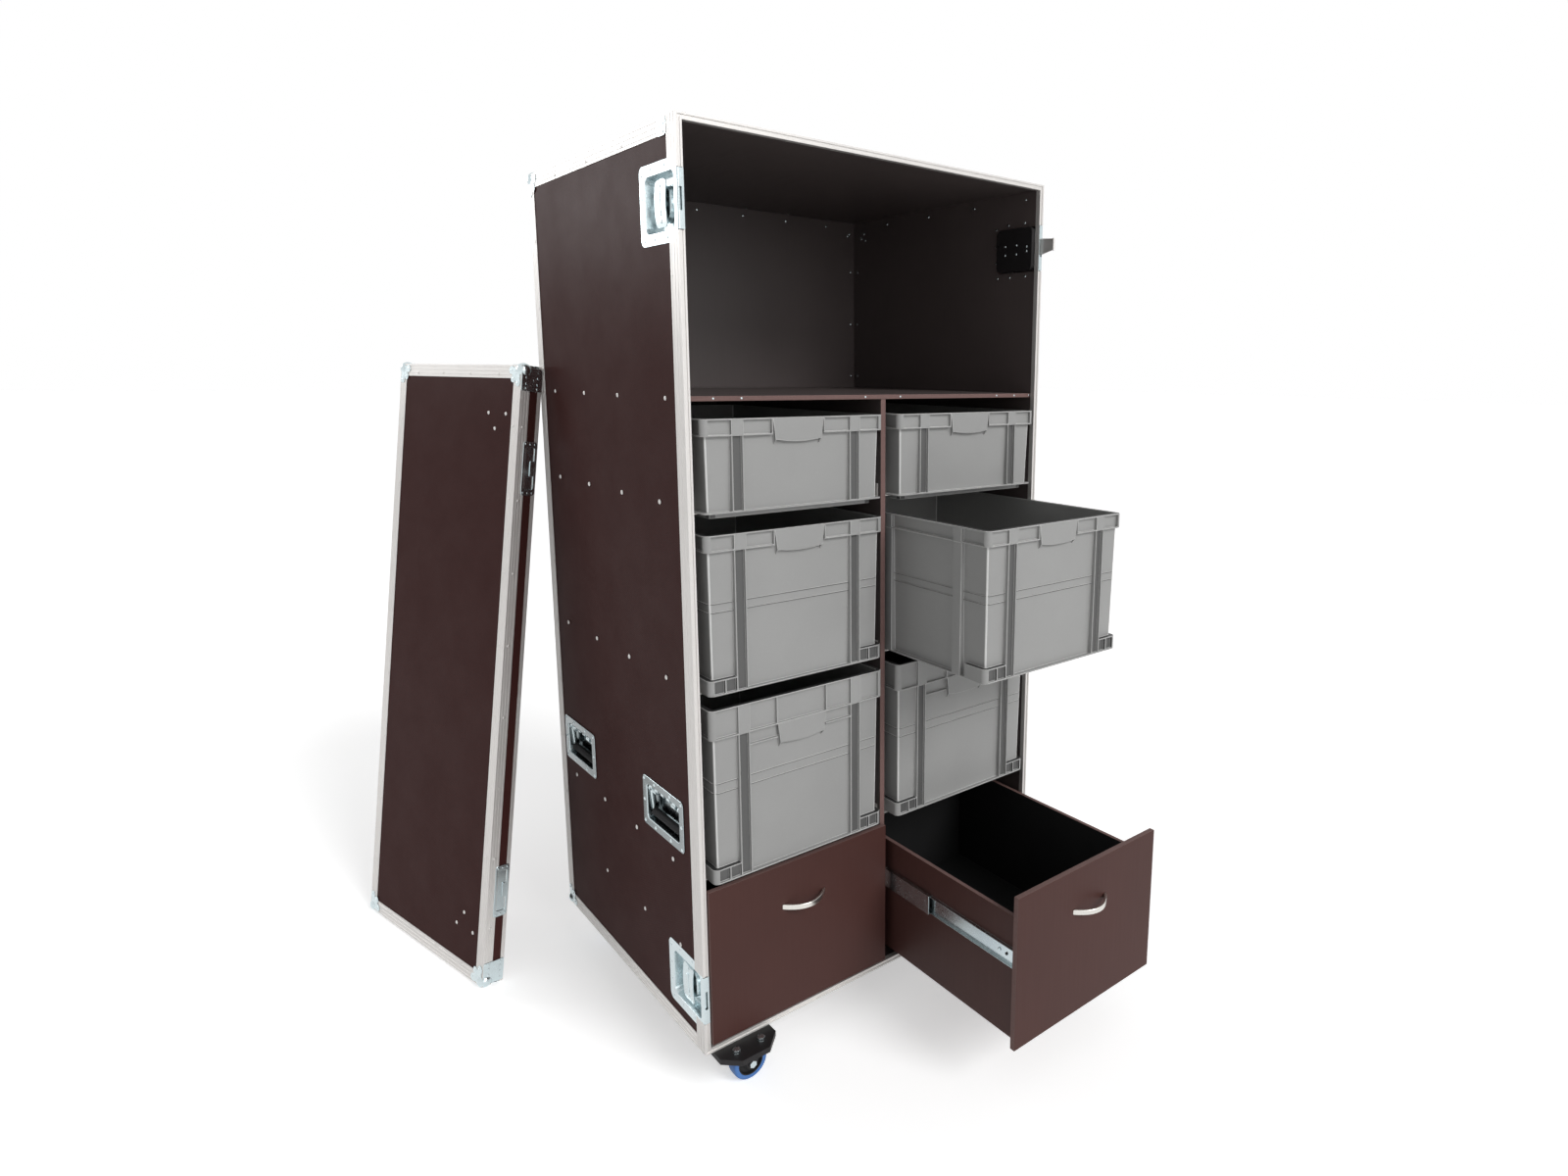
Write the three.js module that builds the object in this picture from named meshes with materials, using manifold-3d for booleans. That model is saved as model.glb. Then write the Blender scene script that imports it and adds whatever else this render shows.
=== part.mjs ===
// Tall road case for tools and spares: six stacking bins on runners, two drawers on
// telescopic slides, an open top compartment, four swivel casters and a lift-off cover.
// Millimetres, +Z up. Case frame: x from the left side, y from the front, z from the underside.
import * as THREE from 'three';
import { mergeVertices } from 'three/addons/utils/BufferGeometryUtils.js';
import Module from 'manifold-3d';

const wasm = await Module();
wasm.setup();

// Driving dimensions of the case
const caseWidth = 890;
const caseDepth = 717;
const caseHeight = 1735;
const rideHeight = 100;
const plyThickness = 9;
const edgeThickness = 1.5;
const edgeLeg = 30;
const fit = 0.3;
const overrun = 2;
const roundSegments = 16;
const rivetSegments = 6;
const cornerSegments = 2;
const wheelSegments = 16;
const gripSegments = 12;
const pinSegments = 8;
const tabSegments = 6;
const weldDistance = 0.00001;

// Front closure profile
const frontLeg = 35;
const frontWeb = 3;
const lipThickness = 1.2;
const lipDepth = 12;
const sealGrooveWidth = 4;
const sealGrooveDepth = 1.4;

// Ball corners of the case and the cover
const ballRadius = 19;
const ballInset = 15;
const ballSegments = 8;

// Inner levels, counted up from the underside
const compartmentHeight = 463;
const shelfSetback = 15;
const dividerThickness = 12;
const dividerSetback = 15;

// Stacking bins: what is left free around them, then the rows from the drawers up
const binSideGap = 14.25;
const binBackGap = 118.5;
const binProud = 12;
const bottomRowGap = 12;
const bottomBinHeight = 346;
const middleRowGap = 27;
const middleBinHeight = 299;
const topRowGap = 28;
const topBinHeight = 179;
const topBinPlinth = 10;
const shelfGap = 30;
const binPullOut = 265;
const binWall = 2.5;
const binSkin = 1;
const binLedge = 2.5;
const binInset = 8;
const binDraft = 4;
const binRimBand = 31;
const binDeepBand = 58;
const binSecondBand = 27;
const binFootBand = 27;
const binCorner = 12;
const binRibWidth = 2.5;
const binRibPair = 22;
const binRibSetback = 1.25;
const binRibFromSide = 58;
const binPlinthInset = 20;
const binTabWidth = 112;
const binTabDrop = 40;
const binTabArc = 5;
const binTabThickness = 2.5;
const binGussetDrop = 16;
const binSideRibShares = [0.14, 0.5, 0.86];
const binCavityCorner = 8;

// Bin runners: aluminium angles riveted through the walls and the divider
const runnerThickness = 1.5;
const runnerShelf = 22;
const runnerRise = 26;
const runnerSetback = 24;
const runnerBackGap = 42.5;
const runnerRivetRise = 13;
const rivetRadius = 2.4;
const rivetHeadRadius = 4.6;
const rivetHeadHeight = 1.1;
const rivetHole = 2.8;
const rivetShares = [0.1390625, 0.4046875, 0.66875, 0.9328125];

// Drawers
const drawerFloor = 20;
const drawerFrontHeight = 322;
const drawerFrontThickness = 12;
const drawerFrontProud = 6;
const drawerSideGap = 4;
const drawerBackGap = 106.5;
const drawerBoxRise = 10;
const drawerBoxDrop = 52;
const drawerPullOut = 389;
const slideGap = 13;
const slideHeight = 45;
const slideSheet = 1.2;
const slideBalls = 0.7;
const slideLevel = 205;
const slideMiddleSetback = 60;
const slideMiddleShort = 80;
const slideFlange = 8.6;
const slideMiddleWeb = 2.4;
const slideInnerFlange = 6;
const pullSpan = 104;
const pullReach = 28;
const pullWidth = 11;
const pullThickness = 5;
const pullFoot = 7;
const pullDrop = 91;
const pullSteps = 12;

// Butterfly latches in recessed dishes
const latchLength = 147;
const latchHeight = 136;
const latchWell = 98;
const latchWellEnd = 19;
const latchDepth = 21;
const latchLip = 14;
const latchChannel = 9;
const latchSheet = 1.3;
const latchSlotHeight = 40;
const latchSlotInset = 2;
const latchRound = 14;
const latchFromTop = 137;
const latchLower = 118;
const wingHub = 14;
const wingLength = 80;
const wingWidth = 27;
const wingThickness = 3;
const wingRound = 9;
const wingRise = 4;
const wingBoss = 6;
const wingFromFront = 72;

// Sprung drop handles in recessed dishes
const handleLength = 180;
const handleHeight = 106;
const handleWellLength = 146;
const handleWellHeight = 76;
const handleDepth = 24;
const handleSheet = 1.3;
const handleRound = 10;
const handleLevel = 450;
const handleFromFront = 151;
const handleFromBack = 130;
const bailPivotRise = 28;
const bailPivotInset = 6;
const bailArmWidth = 9;
const bailArmThickness = 5;
const bailDrop = 50;
const bailGripRadius = 8;
const bailGripInset = 11;
const bailArmGap = 5;
const bailPinRadius = 3;

// Swivel casters on plywood boards
const boardThickness = 12;
const boardLength = 140;
const boardWidth = 125;
const boardChamfer = 32;
const casterInset = 80;
const casterFront = 13;
const casterRear = 76;
const casterPlate = 3;
const casterPlateLength = 105;
const casterPlateWidth = 85;
const casterBoltX = 55;
const casterBoltY = 80;
const casterBoltRadius = 4.5;
const casterBoltHead = 8;
const casterBoltHeadHeight = 6;
const wheelRadius = 37.5;
const wheelWidth = 30;
const wheelTrail = 18;
const wheelBore = 5.5;
const wheelHub = 13;
const wheelRim = 27;
const wheelRimInset = 5;
const wheelCrown = 3;
const forkRace = 27;
const forkRaceHeight = 5;
const forkLeg = 3;
const forkLegWidth = 40;
const forkFoot = 12;
const forkClear = 1.2;
const axleRadius = 5;
const axleNut = 8;
const axleNutHeight = 5;

// Lift-off cover, which leans on the left side of the case
const coverWidth = 550;
const coverHeight = 1430;
const coverDepth = 50;
const coverSideLeg = 22;
const coverRimLeg = 9;
const coverLean = 7.8;
const coverYaw = -76.7;
const coverContactInset = 25;
const coverGap = 0.4;
const coverLatchShares = [0.155, 0.84];
const coverLatchLength = 122;
const coverLatchHeight = 1.6;
const coverBracket = 46;

// Values worked out from the dimensions above
const innerFace = edgeThickness + plyThickness;
const panelTop = caseHeight - edgeThickness;
const panelBack = caseDepth - edgeThickness;
const rightInner = caseWidth - innerFace;
const backFront = caseDepth - innerFace;
const middle = caseWidth / 2;
const dividerLeft = middle - dividerThickness / 2;
const dividerRight = middle + dividerThickness / 2;
const shelfTop = caseHeight - compartmentHeight;
const shelfUnder = shelfTop - plyThickness;
const drawerTop = drawerFloor + drawerFrontHeight;
const panelFront = frontWeb + fit;
const binWidth = dividerLeft - innerFace - binSideGap * 2;
const binLength = backFront + binProud - binBackGap;
const runnerLength = backFront - runnerBackGap - runnerSetback;
const rivetPlaces = rivetShares.map((share) => runnerSetback + share * runnerLength);
const drawerBoxDepth = backFront - drawerBackGap;
const slideMiddleLength = drawerBoxDepth - slideMiddleShort;
const slideFront = Math.max(lipDepth + fit, dividerSetback);
const railLow = slideLevel - slideHeight / 2;
const railHigh = slideLevel + slideHeight / 2;
const latchUpper = caseHeight - latchFromTop;
const handlePlaces = [handleFromFront, caseDepth - handleFromBack];
const coverContact = caseDepth - coverContactInset;

// The rows of bins share the room between the drawers and the shelf.
const bottomRow = bottomRowGap + bottomBinHeight;
const middleRow = middleRowGap + middleBinHeight;
const topRow = topRowGap + topBinHeight + shelfGap;
const rowStretch = (shelfUnder - drawerTop) / (bottomRow + middleRow + topRow);
const bottomBinFloor = drawerTop + rowStretch * bottomRowGap;
const middleBinFloor = bottomBinFloor + rowStretch * (bottomBinHeight + middleRowGap);
const topBinFloor = middleBinFloor + rowStretch * (middleBinHeight + topRowGap);
const binRows = [
  {
    name: 'top',
    floor: topBinFloor,
    height: rowStretch * topBinHeight,
    plinth: topBinPlinth,
    deepRim: false,
  },
  {
    name: 'middle',
    floor: middleBinFloor,
    height: rowStretch * middleBinHeight,
    plinth: 0,
    deepRim: false,
  },
  {
    name: 'bottom',
    floor: bottomBinFloor,
    height: rowStretch * bottomBinHeight,
    plinth: 0,
    deepRim: true,
  },
];

// Solids

function toSolid(geometry) {
  const bare = geometry.clone();
  bare.deleteAttribute('normal');
  bare.deleteAttribute('uv');
  const merged = mergeVertices(bare, weldDistance);
  return new wasm.Manifold(new wasm.Mesh({
    numProp: 3,
    vertProperties: new Float32Array(merged.attributes.position.array),
    triVerts: new Uint32Array(merged.index.array),
  }));
}

function block(low, high) {
  const size = high.map((value, axis) => value - low[axis]);
  const geometry = new THREE.BoxGeometry(...size);
  geometry.translate(...high.map((value, axis) => (value + low[axis]) / 2));
  return toSolid(geometry);
}

function join(solids) {
  return solids.reduce((whole, next) => whole.add(next));
}

function cut(solid, tools) {
  return tools.reduce((rest, tool) => rest.subtract(tool), solid);
}

// A round bar between two levels of one axis, at a place given by the other two coordinates.
function bar(axis, radius, place, from, to, segments = roundSegments) {
  const geometry = new THREE.CylinderGeometry(radius, radius, to - from, segments);
  const centre = (from + to) / 2;
  if (axis === 'x') {
    geometry.rotateZ(Math.PI / 2);
    geometry.translate(centre, place[0], place[1]);
  } else if (axis === 'y') {
    geometry.translate(place[0], centre, place[1]);
  } else {
    geometry.rotateX(Math.PI / 2);
    geometry.translate(place[0], place[1], centre);
  }
  return toSolid(geometry);
}

// Two values in rising order.
function ordered(a, b) {
  return [Math.min(a, b), Math.max(a, b)];
}

function outline(points) {
  return new THREE.Shape(points.map(([a, b]) => new THREE.Vector2(a, b)));
}

function roundedOutline(low, high, radius) {
  const shape = new THREE.Shape();
  const [left, bottom] = low;
  const [right, top] = high;
  const quarter = Math.PI / 2;
  shape.absarc(right - radius, bottom + radius, radius, -quarter, 0);
  shape.absarc(right - radius, top - radius, radius, 0, quarter);
  shape.absarc(left + radius, top - radius, radius, quarter, 2 * quarter);
  shape.absarc(left + radius, bottom + radius, radius, 2 * quarter, 3 * quarter);
  shape.closePath();
  return shape;
}

// An outline drawn in two axes and extruded between two levels of the third.
function extrudeAlong(axis, shape, from, to, curveSegments = cornerSegments) {
  const geometry = new THREE.ExtrudeGeometry(shape, {
    depth: to - from,
    bevelEnabled: false,
    curveSegments,
  });
  geometry.translate(0, 0, from);
  const basis = new THREE.Matrix4();
  if (axis === 'x') {
    basis.set(0, 0, 1, 0, 1, 0, 0, 0, 0, 1, 0, 0, 0, 0, 0, 1);
  } else if (axis === 'y') {
    basis.set(0, 1, 0, 0, 0, 0, 1, 0, 1, 0, 0, 0, 0, 0, 0, 1);
  }
  geometry.applyMatrix4(basis);
  return toSolid(geometry);
}

function meshFrom(name, solid, material, flip = false) {
  const data = solid.getMesh();
  const geometry = new THREE.BufferGeometry();
  const positions = new Float32Array(data.vertProperties);
  const index = Array.from(data.triVerts);
  geometry.setAttribute('position', new THREE.BufferAttribute(positions, data.numProp));
  if (flip) {
    geometry.scale(-1, 1, 1);
    geometry.translate(caseWidth, 0, 0);
    index.reverse();
  }
  geometry.setIndex(index);
  geometry.computeVertexNormals();
  const mesh = new THREE.Mesh(geometry, material);
  mesh.name = name;
  return mesh;
}

// Materials

function finish(color, roughness, metalness) {
  return new THREE.MeshStandardMaterial({ color, roughness, metalness, flatShading: true });
}

const phenolicPly = finish(0x3e2b29, 0.55, 0);
const bareAluminium = finish(0xe4e1dd, 0.35, 1);
const zincSteel = finish(0xbecdd0, 0.3, 1);
const greyPlastic = finish(0xa5a5a3, 0.5, 0);
const blackSteel = finish(0x1c191b, 0.5, 0.6);
const blackRubber = finish(0x141414, 0.8, 0);
const blueTread = finish(0x466ea0, 0.6, 0);
const brushedNickel = finish(0xc9c6c0, 0.3, 1);

// Carcass

function rivetHoles(level, from, to) {
  return rivetPlaces.map((place) => bar('x', rivetHole, [place, level], from, to, rivetSegments));
}

function outerRail(wallFace, direction) {
  const webFar = wallFace + direction * slideSheet;
  const flangeFar = wallFace + direction * (slideSheet + slideFlange);
  const front = slideFront;
  const back = slideFront + drawerBoxDepth;
  const [webLow, webHigh] = ordered(wallFace - direction * slideSheet, webFar);
  const [low, high] = ordered(wallFace - direction * slideSheet, flangeFar);
  return join([
    block([webLow, front, railLow], [webHigh, back, railHigh]),
    block([low, front, railLow], [high, back, railLow + slideSheet]),
    block([low, front, railHigh - slideSheet], [high, back, railHigh]),
  ]);
}

function sidePanel() {
  let panel = block([edgeThickness, panelFront, edgeThickness], [innerFace, panelBack, panelTop]);
  const tools = [];
  for (const level of [latchUpper, latchLower]) {
    const half = latchWell / 2 + fit;
    const wellBack = latchLength - latchWellEnd + fit;
    tools.push(block([0, 0, level - half], [innerFace + overrun, wellBack, level + half]));
  }
  for (const place of handlePlaces) {
    const halfLength = handleWellLength / 2 + fit;
    const halfHeight = handleWellHeight / 2 + fit;
    tools.push(block(
      [0, place - halfLength, handleLevel - halfHeight],
      [innerFace + overrun, place + halfLength, handleLevel + halfHeight],
    ));
  }
  for (const row of binRows) {
    tools.push(...rivetHoles(runnerBase(row) + runnerRivetRise, 0, innerFace + overrun));
  }
  panel = cut(panel, tools);
  return panel.add(outerRail(innerFace, 1));
}

// The plan of a caster board. The end towards the edge of the case has its corners cut off.
function boardOutline(direction) {
  const half = boardWidth / 2;
  const end = direction * boardLength / 2;
  const shoulder = end - direction * boardChamfer;
  return outline([
    [-half + boardChamfer, end], [half - boardChamfer, end], [half, shoulder],
    [half, -end], [-half, -end], [-half, shoulder],
  ]);
}

function casterCentres() {
  const right = caseWidth - casterInset;
  return [
    { name: 'front_left', x: casterInset, y: casterFront, front: true },
    { name: 'front_right', x: right, y: casterFront, front: true },
    { name: 'rear_left', x: casterInset, y: caseDepth - casterRear, front: false },
    { name: 'rear_right', x: right, y: caseDepth - casterRear, front: false },
  ];
}

function casterBoard({ x, y, front }) {
  const boardFront = y - boardLength / 2;
  const boardBack = y + boardLength / 2;
  const board = new THREE.ExtrudeGeometry(boardOutline(front ? -1 : 1), {
    depth: boardThickness,
    bevelEnabled: false,
  });
  board.translate(x, y, -boardThickness);
  const padFront = Math.max(boardFront, frontLeg + fit);
  const padBack = Math.min(boardBack, caseDepth - edgeLeg - fit);
  const padLeft = Math.max(x - boardWidth / 2, edgeLeg + fit);
  const padRight = Math.min(x + boardWidth / 2, caseWidth - edgeLeg - fit);
  const plateLow = -boardThickness - casterPlate;
  const parts = [
    toSolid(board),
    block([padLeft, padFront, -overrun], [padRight, padBack, edgeThickness + overrun]),
    block(
      [x - casterPlateWidth / 2, y - casterPlateLength / 2, plateLow],
      [x + casterPlateWidth / 2, y + casterPlateLength / 2, -boardThickness + overrun],
    ),
  ];
  const boltLow = plateLow - casterBoltHeadHeight / 2;
  for (const sideX of [-1, 1]) {
    for (const sideY of [-1, 1]) {
      const place = [x + sideX * casterBoltX / 2, y + sideY * casterBoltY / 2];
      parts.push(bar('z', casterBoltRadius, place, boltLow, 0, rivetSegments));
      if (place[1] < 0) {
        const headTop = casterBoltHeadHeight;
        parts.push(bar('z', casterBoltHead, place, -overrun, headTop, rivetSegments));
      }
    }
  }
  return join(parts);
}

function bottomPanel() {
  const low = [innerFace + fit, panelFront, edgeThickness];
  const high = [rightInner - fit, backFront - fit, innerFace];
  return join([block(low, high), ...casterCentres().map(casterBoard)]);
}

function topPanel() {
  const low = [innerFace + fit, panelFront, caseHeight - innerFace];
  return block(low, [rightInner - fit, backFront - fit, panelTop]);
}

function backPanel() {
  return block([innerFace + fit, backFront, edgeThickness], [rightInner - fit, panelBack, panelTop]);
}

function shelfPanel() {
  return block(
    [innerFace + fit, shelfSetback, shelfUnder],
    [rightInner - fit, backFront - fit, shelfTop],
  );
}

function dividerPanel() {
  const panel = block(
    [dividerLeft, dividerSetback, innerFace + fit],
    [dividerRight, backFront - fit, shelfUnder - fit],
  );
  const tools = binRows.flatMap((row) => rivetHoles(
    runnerBase(row) + runnerRivetRise,
    dividerLeft - overrun,
    dividerRight + overrun,
  ));
  return join([
    cut(panel, tools),
    outerRail(dividerLeft, -1),
    outerRail(dividerRight, 1),
  ]);
}

// Aluminium edging

// A band in the plane of a rectangle whose sides lie at equal insets, extruded along y.
function frontBand(outerInset, innerInset, from, to, width, height) {
  const shape = outline([
    [outerInset, outerInset], [outerInset, width - outerInset],
    [height - outerInset, width - outerInset], [height - outerInset, outerInset],
  ]);
  shape.holes.push(outline([
    [innerInset, innerInset], [height - innerInset, innerInset],
    [height - innerInset, width - innerInset], [innerInset, width - innerInset],
  ]));
  return extrudeAlong('y', shape, from, to);
}

function closureProfile(width, height, leg, lip) {
  const lipFar = innerFace + fit + lipThickness;
  const grooveMiddle = (edgeThickness + innerFace) / 2;
  const grooveNear = grooveMiddle - sealGrooveWidth / 2;
  const grooveFar = grooveMiddle + sealGrooveWidth / 2;
  const profile = join([
    frontBand(0, lipFar, 0, frontWeb, width, height),
    frontBand(0, edgeThickness - fit, 0, leg, width, height),
    frontBand(innerFace + fit, lipFar, 0, lip, width, height),
  ]);
  const seal = frontBand(grooveNear, grooveFar, -overrun, sealGrooveDepth, width, height);
  return profile.subtract(seal);
}

function frontFrame() {
  const profile = closureProfile(caseWidth, caseHeight, frontLeg, lipDepth);
  const tools = [];
  for (const level of [latchUpper, latchLower]) {
    const halfFlange = latchHeight / 2 + fit;
    const halfWell = latchWell / 2 + fit;
    const channel = innerFace;
    const sides = [[-overrun, edgeThickness], [caseWidth - edgeThickness, caseWidth + overrun]];
    const webs = [[-overrun, channel], [caseWidth - channel, caseWidth + overrun]];
    for (const [low, high] of sides) {
      const from = [low, frontWeb, level - halfFlange];
      tools.push(block(from, [high, frontLeg + overrun, level + halfFlange]));
    }
    for (const [low, high] of webs) {
      tools.push(block([low, -overrun, level - halfWell], [high, frontLeg, level + halfWell]));
    }
  }
  return cut(profile, tools);
}

function ballCorner(x, y, z) {
  const ball = new THREE.SphereGeometry(ballRadius, ballSegments, ballSegments / 2);
  ball.translate(x, y, z);
  return toSolid(ball);
}

function rearEdging() {
  const front = frontLeg + fit;
  const legSpan = [edgeLeg, caseWidth - edgeLeg];
  const parts = [];
  const sheet = edgeThickness - fit;
  for (const [low, high] of [[0, sheet], [caseWidth - sheet, caseWidth]]) {
    parts.push(block([low, front, caseHeight - edgeLeg], [high, caseDepth, caseHeight]));
    parts.push(block([low, front, 0], [high, caseDepth, edgeLeg]));
    parts.push(block([low, caseDepth - edgeLeg, 0], [high, caseDepth, caseHeight]));
  }
  for (const [low, high] of [[0, sheet], [caseHeight - sheet, caseHeight]]) {
    parts.push(block([0, front, low], [legSpan[0], caseDepth, high]));
    parts.push(block([legSpan[1], front, low], [caseWidth, caseDepth, high]));
    parts.push(block([0, caseDepth - edgeLeg, low], [caseWidth, caseDepth, high]));
  }
  parts.push(frontBand(0, edgeLeg, panelBack + fit, caseDepth, caseWidth, caseHeight));
  const inside = block(
    [edgeThickness - fit, 0, edgeThickness - fit],
    [caseWidth - edgeThickness + fit, panelBack + fit, panelTop + fit],
  );
  for (const x of [ballInset, caseWidth - ballInset]) {
    for (const z of [ballInset, caseHeight - ballInset]) {
      parts.push(ballCorner(x, caseDepth - ballInset, z).subtract(inside));
    }
  }
  return join(parts);
}

// Runners

function runnerBase(row) {
  return row.floor + row.plinth;
}

function rivet(place, level, from, to, headSide) {
  const head = headSide < 0
    ? [from - rivetHeadHeight, from]
    : [to, to + rivetHeadHeight];
  return join([
    bar('x', rivetRadius, [place, level], from, to, rivetSegments),
    bar('x', rivetHeadRadius, [place, level], ...head, rivetSegments),
  ]);
}

function angleOn(wallFace, direction, base) {
  const near = wallFace + direction * fit;
  const web = near + direction * runnerThickness;
  const toe = near + direction * runnerShelf;
  const back = runnerSetback + runnerLength;
  const low = base - runnerThickness - fit;
  const [webLow, webHigh] = ordered(near, web);
  const [shelfLow, shelfHigh] = ordered(near, toe);
  return join([
    block([webLow, runnerSetback, low], [webHigh, back, base + runnerRise]),
    block([shelfLow, runnerSetback, low], [shelfHigh, back, base - fit]),
  ]);
}

function wallRunner(row) {
  const base = runnerBase(row);
  const level = base + runnerRivetRise;
  const from = edgeThickness - fit;
  const to = innerFace + fit + runnerThickness;
  const rivets = rivetPlaces.map((place) => rivet(place, level, from, to, -1));
  return join([angleOn(innerFace, 1, base), ...rivets]);
}

function dividerRunners(row) {
  const base = runnerBase(row);
  const level = base + runnerRivetRise;
  const from = dividerLeft - fit - runnerThickness;
  const to = dividerRight + fit + runnerThickness;
  const rivets = rivetPlaces.map(
    (place) => bar('x', rivetRadius, [place, level], from, to, rivetSegments),
  );
  return join([angleOn(dividerLeft, -1, base), angleOn(dividerRight, 1, base), ...rivets]);
}

// Bins

function binBand(inset, corner, from, to) {
  const shape = roundedOutline([inset, inset], [binWidth - inset, binLength - inset], corner);
  return extrudeAlong('z', shape, from, to);
}

// A wall that draws in towards the floor of the bin.
function binTub(inset, draft, corner, from, to) {
  const tub = roundedOutline([inset, inset], [binWidth - inset, binLength - inset], corner);
  const geometry = new THREE.ExtrudeGeometry(tub, {
    depth: to - from,
    bevelEnabled: false,
    curveSegments: cornerSegments,
  });
  const place = geometry.attributes.position;
  const halfWidth = binWidth / 2;
  const halfLength = binLength / 2;
  for (let i = 0; i < place.count; i += 1) {
    const share = 1 - place.getZ(i) / (to - from);
    const x = place.getX(i) - halfWidth;
    const y = place.getY(i) - halfLength;
    place.setX(i, halfWidth + x * (1 - share * draft / halfWidth));
    place.setY(i, halfLength + y * (1 - share * draft / halfLength));
  }
  geometry.translate(0, 0, from);
  return toSolid(geometry);
}

// Box cuts in one wall of the bin, between the given places along that wall.
function wallPockets(side, spans, from, to) {
  const deep = binInset - binSkin;
  return spans.map(([start, end]) => {
    if (side === 'front') {
      return block([start, -overrun, from], [end, deep, to]);
    }
    const [low, high] = side === 'left' ? [-overrun, deep] : [binWidth - deep, binWidth + overrun];
    return block([low, start, from], [high, end, to]);
  });
}

// The ribs stand in pairs: each pair is given by where its two ribs begin.
function frontPairs() {
  const near = [binRibFromSide, binRibFromSide + binRibPair];
  const far = near.map((start) => binWidth - start - binRibWidth).reverse();
  return [near, far];
}

function sidePairs() {
  return binSideRibShares.map((share) => {
    const centre = share * binLength;
    return [centre - binRibPair / 2, centre + binRibPair / 2];
  });
}

// The free stretches of a wall between its rib pairs.
function stretches(pairs, length) {
  const starts = [binCorner, ...pairs.map(([, far]) => far + binRibWidth)];
  const ends = [...pairs.map(([near]) => near), length - binCorner];
  return starts.map((start, index) => [start, ends[index]]);
}

function binPillars(low, high) {
  const across = frontPairs().map(([start, end]) => block(
    [start, binRibSetback, low],
    [end + binRibWidth, binLength - binRibSetback, high],
  ));
  const along = sidePairs().map(([start, end]) => block(
    [binRibSetback, start, low],
    [binWidth - binRibSetback, end + binRibWidth, high],
  ));
  return [...across, ...along];
}

function binPockets(row, band) {
  const { height, plinth, deepRim } = row;
  const [near, far] = frontPairs();
  const tabLow = (binWidth - binTabWidth) / 2;
  const tabHigh = (binWidth + binTabWidth) / 2;
  const rimSpans = [
    [binCorner, near[0]],
    [near[1] + binRibWidth, tabLow - binRibWidth],
    [tabHigh + binRibWidth, far[0]],
    [far[1] + binRibWidth, binWidth - binCorner],
  ];
  if (deepRim) {
    rimSpans.push([tabLow, tabHigh]);
  }
  const rimLow = height - band + binLedge;
  const rimHigh = height - binLedge;
  const channels = frontPairs().map(([start, end]) => [start + binRibWidth, end]);
  const sideSpans = stretches(sidePairs(), binLength);
  const tools = [
    ...wallPockets('front', rimSpans, rimLow, rimHigh),
    ...wallPockets('front', channels, plinth + binLedge, rimLow - binLedge),
    ...wallPockets('left', sideSpans, rimLow, rimHigh),
    ...wallPockets('right', sideSpans, rimLow, rimHigh),
  ];
  if (plinth > 0) {
    return tools;
  }
  const rib = (binCorner + near[0] - binRibWidth) / 2;
  const footSpans = [[binCorner, rib], [rib + binRibWidth, near[0]]];
  const mirrored = footSpans.map(([start, end]) => [binWidth - end, binWidth - start]);
  return [...tools, ...wallPockets('front', [...footSpans, ...mirrored], binLedge, binFootBand)];
}

function binSolid(row) {
  const { height, plinth, deepRim } = row;
  const band = deepRim ? binDeepBand : binRimBand;
  const parts = [
    binTub(binInset, binDraft, binCorner, plinth, height),
    binBand(0, binCorner, height - band, height),
    binBand(binRibSetback, binCorner, plinth, plinth + binLedge),
    ...binPillars(plinth, height - band + binLedge),
  ];
  if (deepRim) {
    const level = height - band - binSecondBand;
    const [near, far] = frontPairs();
    const back = binInset + binWall;
    parts.push(block([near[0], binRibSetback, level], [far[1], back, level + binLedge]));
  }
  if (plinth > 0) {
    parts.push(binBand(binPlinthInset, binCorner, 0, plinth + binLedge));
  } else {
    parts.push(binFeet());
  }
  const tabTop = deepRim ? height - band + binLedge : height;
  const shell = cut(join(parts), [...binPockets(row, band), binTabPocket(tabTop)]);
  const cavityLow = plinth + binWall;
  const cavity = binTub(binInset + binWall, binDraft, binCavityCorner, cavityLow, height + overrun);
  return shell.add(binTab(tabTop)).subtract(cavity);
}

// The four corner feet, which stand as proud as the rim.
function binFeet() {
  const reach = binRibFromSide + binRibWidth;
  const above = binFootBand + binLedge + overrun;
  const middleX = block([reach, -overrun, -overrun], [binWidth - reach, binLength + overrun, above]);
  const middleY = block([-overrun, reach, -overrun], [binWidth + overrun, binLength - reach, above]);
  return cut(binBand(binRibSetback, binCorner, 0, binFootBand + binLedge), [middleX, middleY]);
}

// The finger space behind the grip tab, open downwards.
function binTabPocket(top) {
  const half = binTabWidth / 2;
  const centre = binWidth / 2;
  return block(
    [centre - half, -overrun, top - binTabDrop - binGussetDrop],
    [centre + half, binInset, top - binLedge],
  );
}

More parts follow.
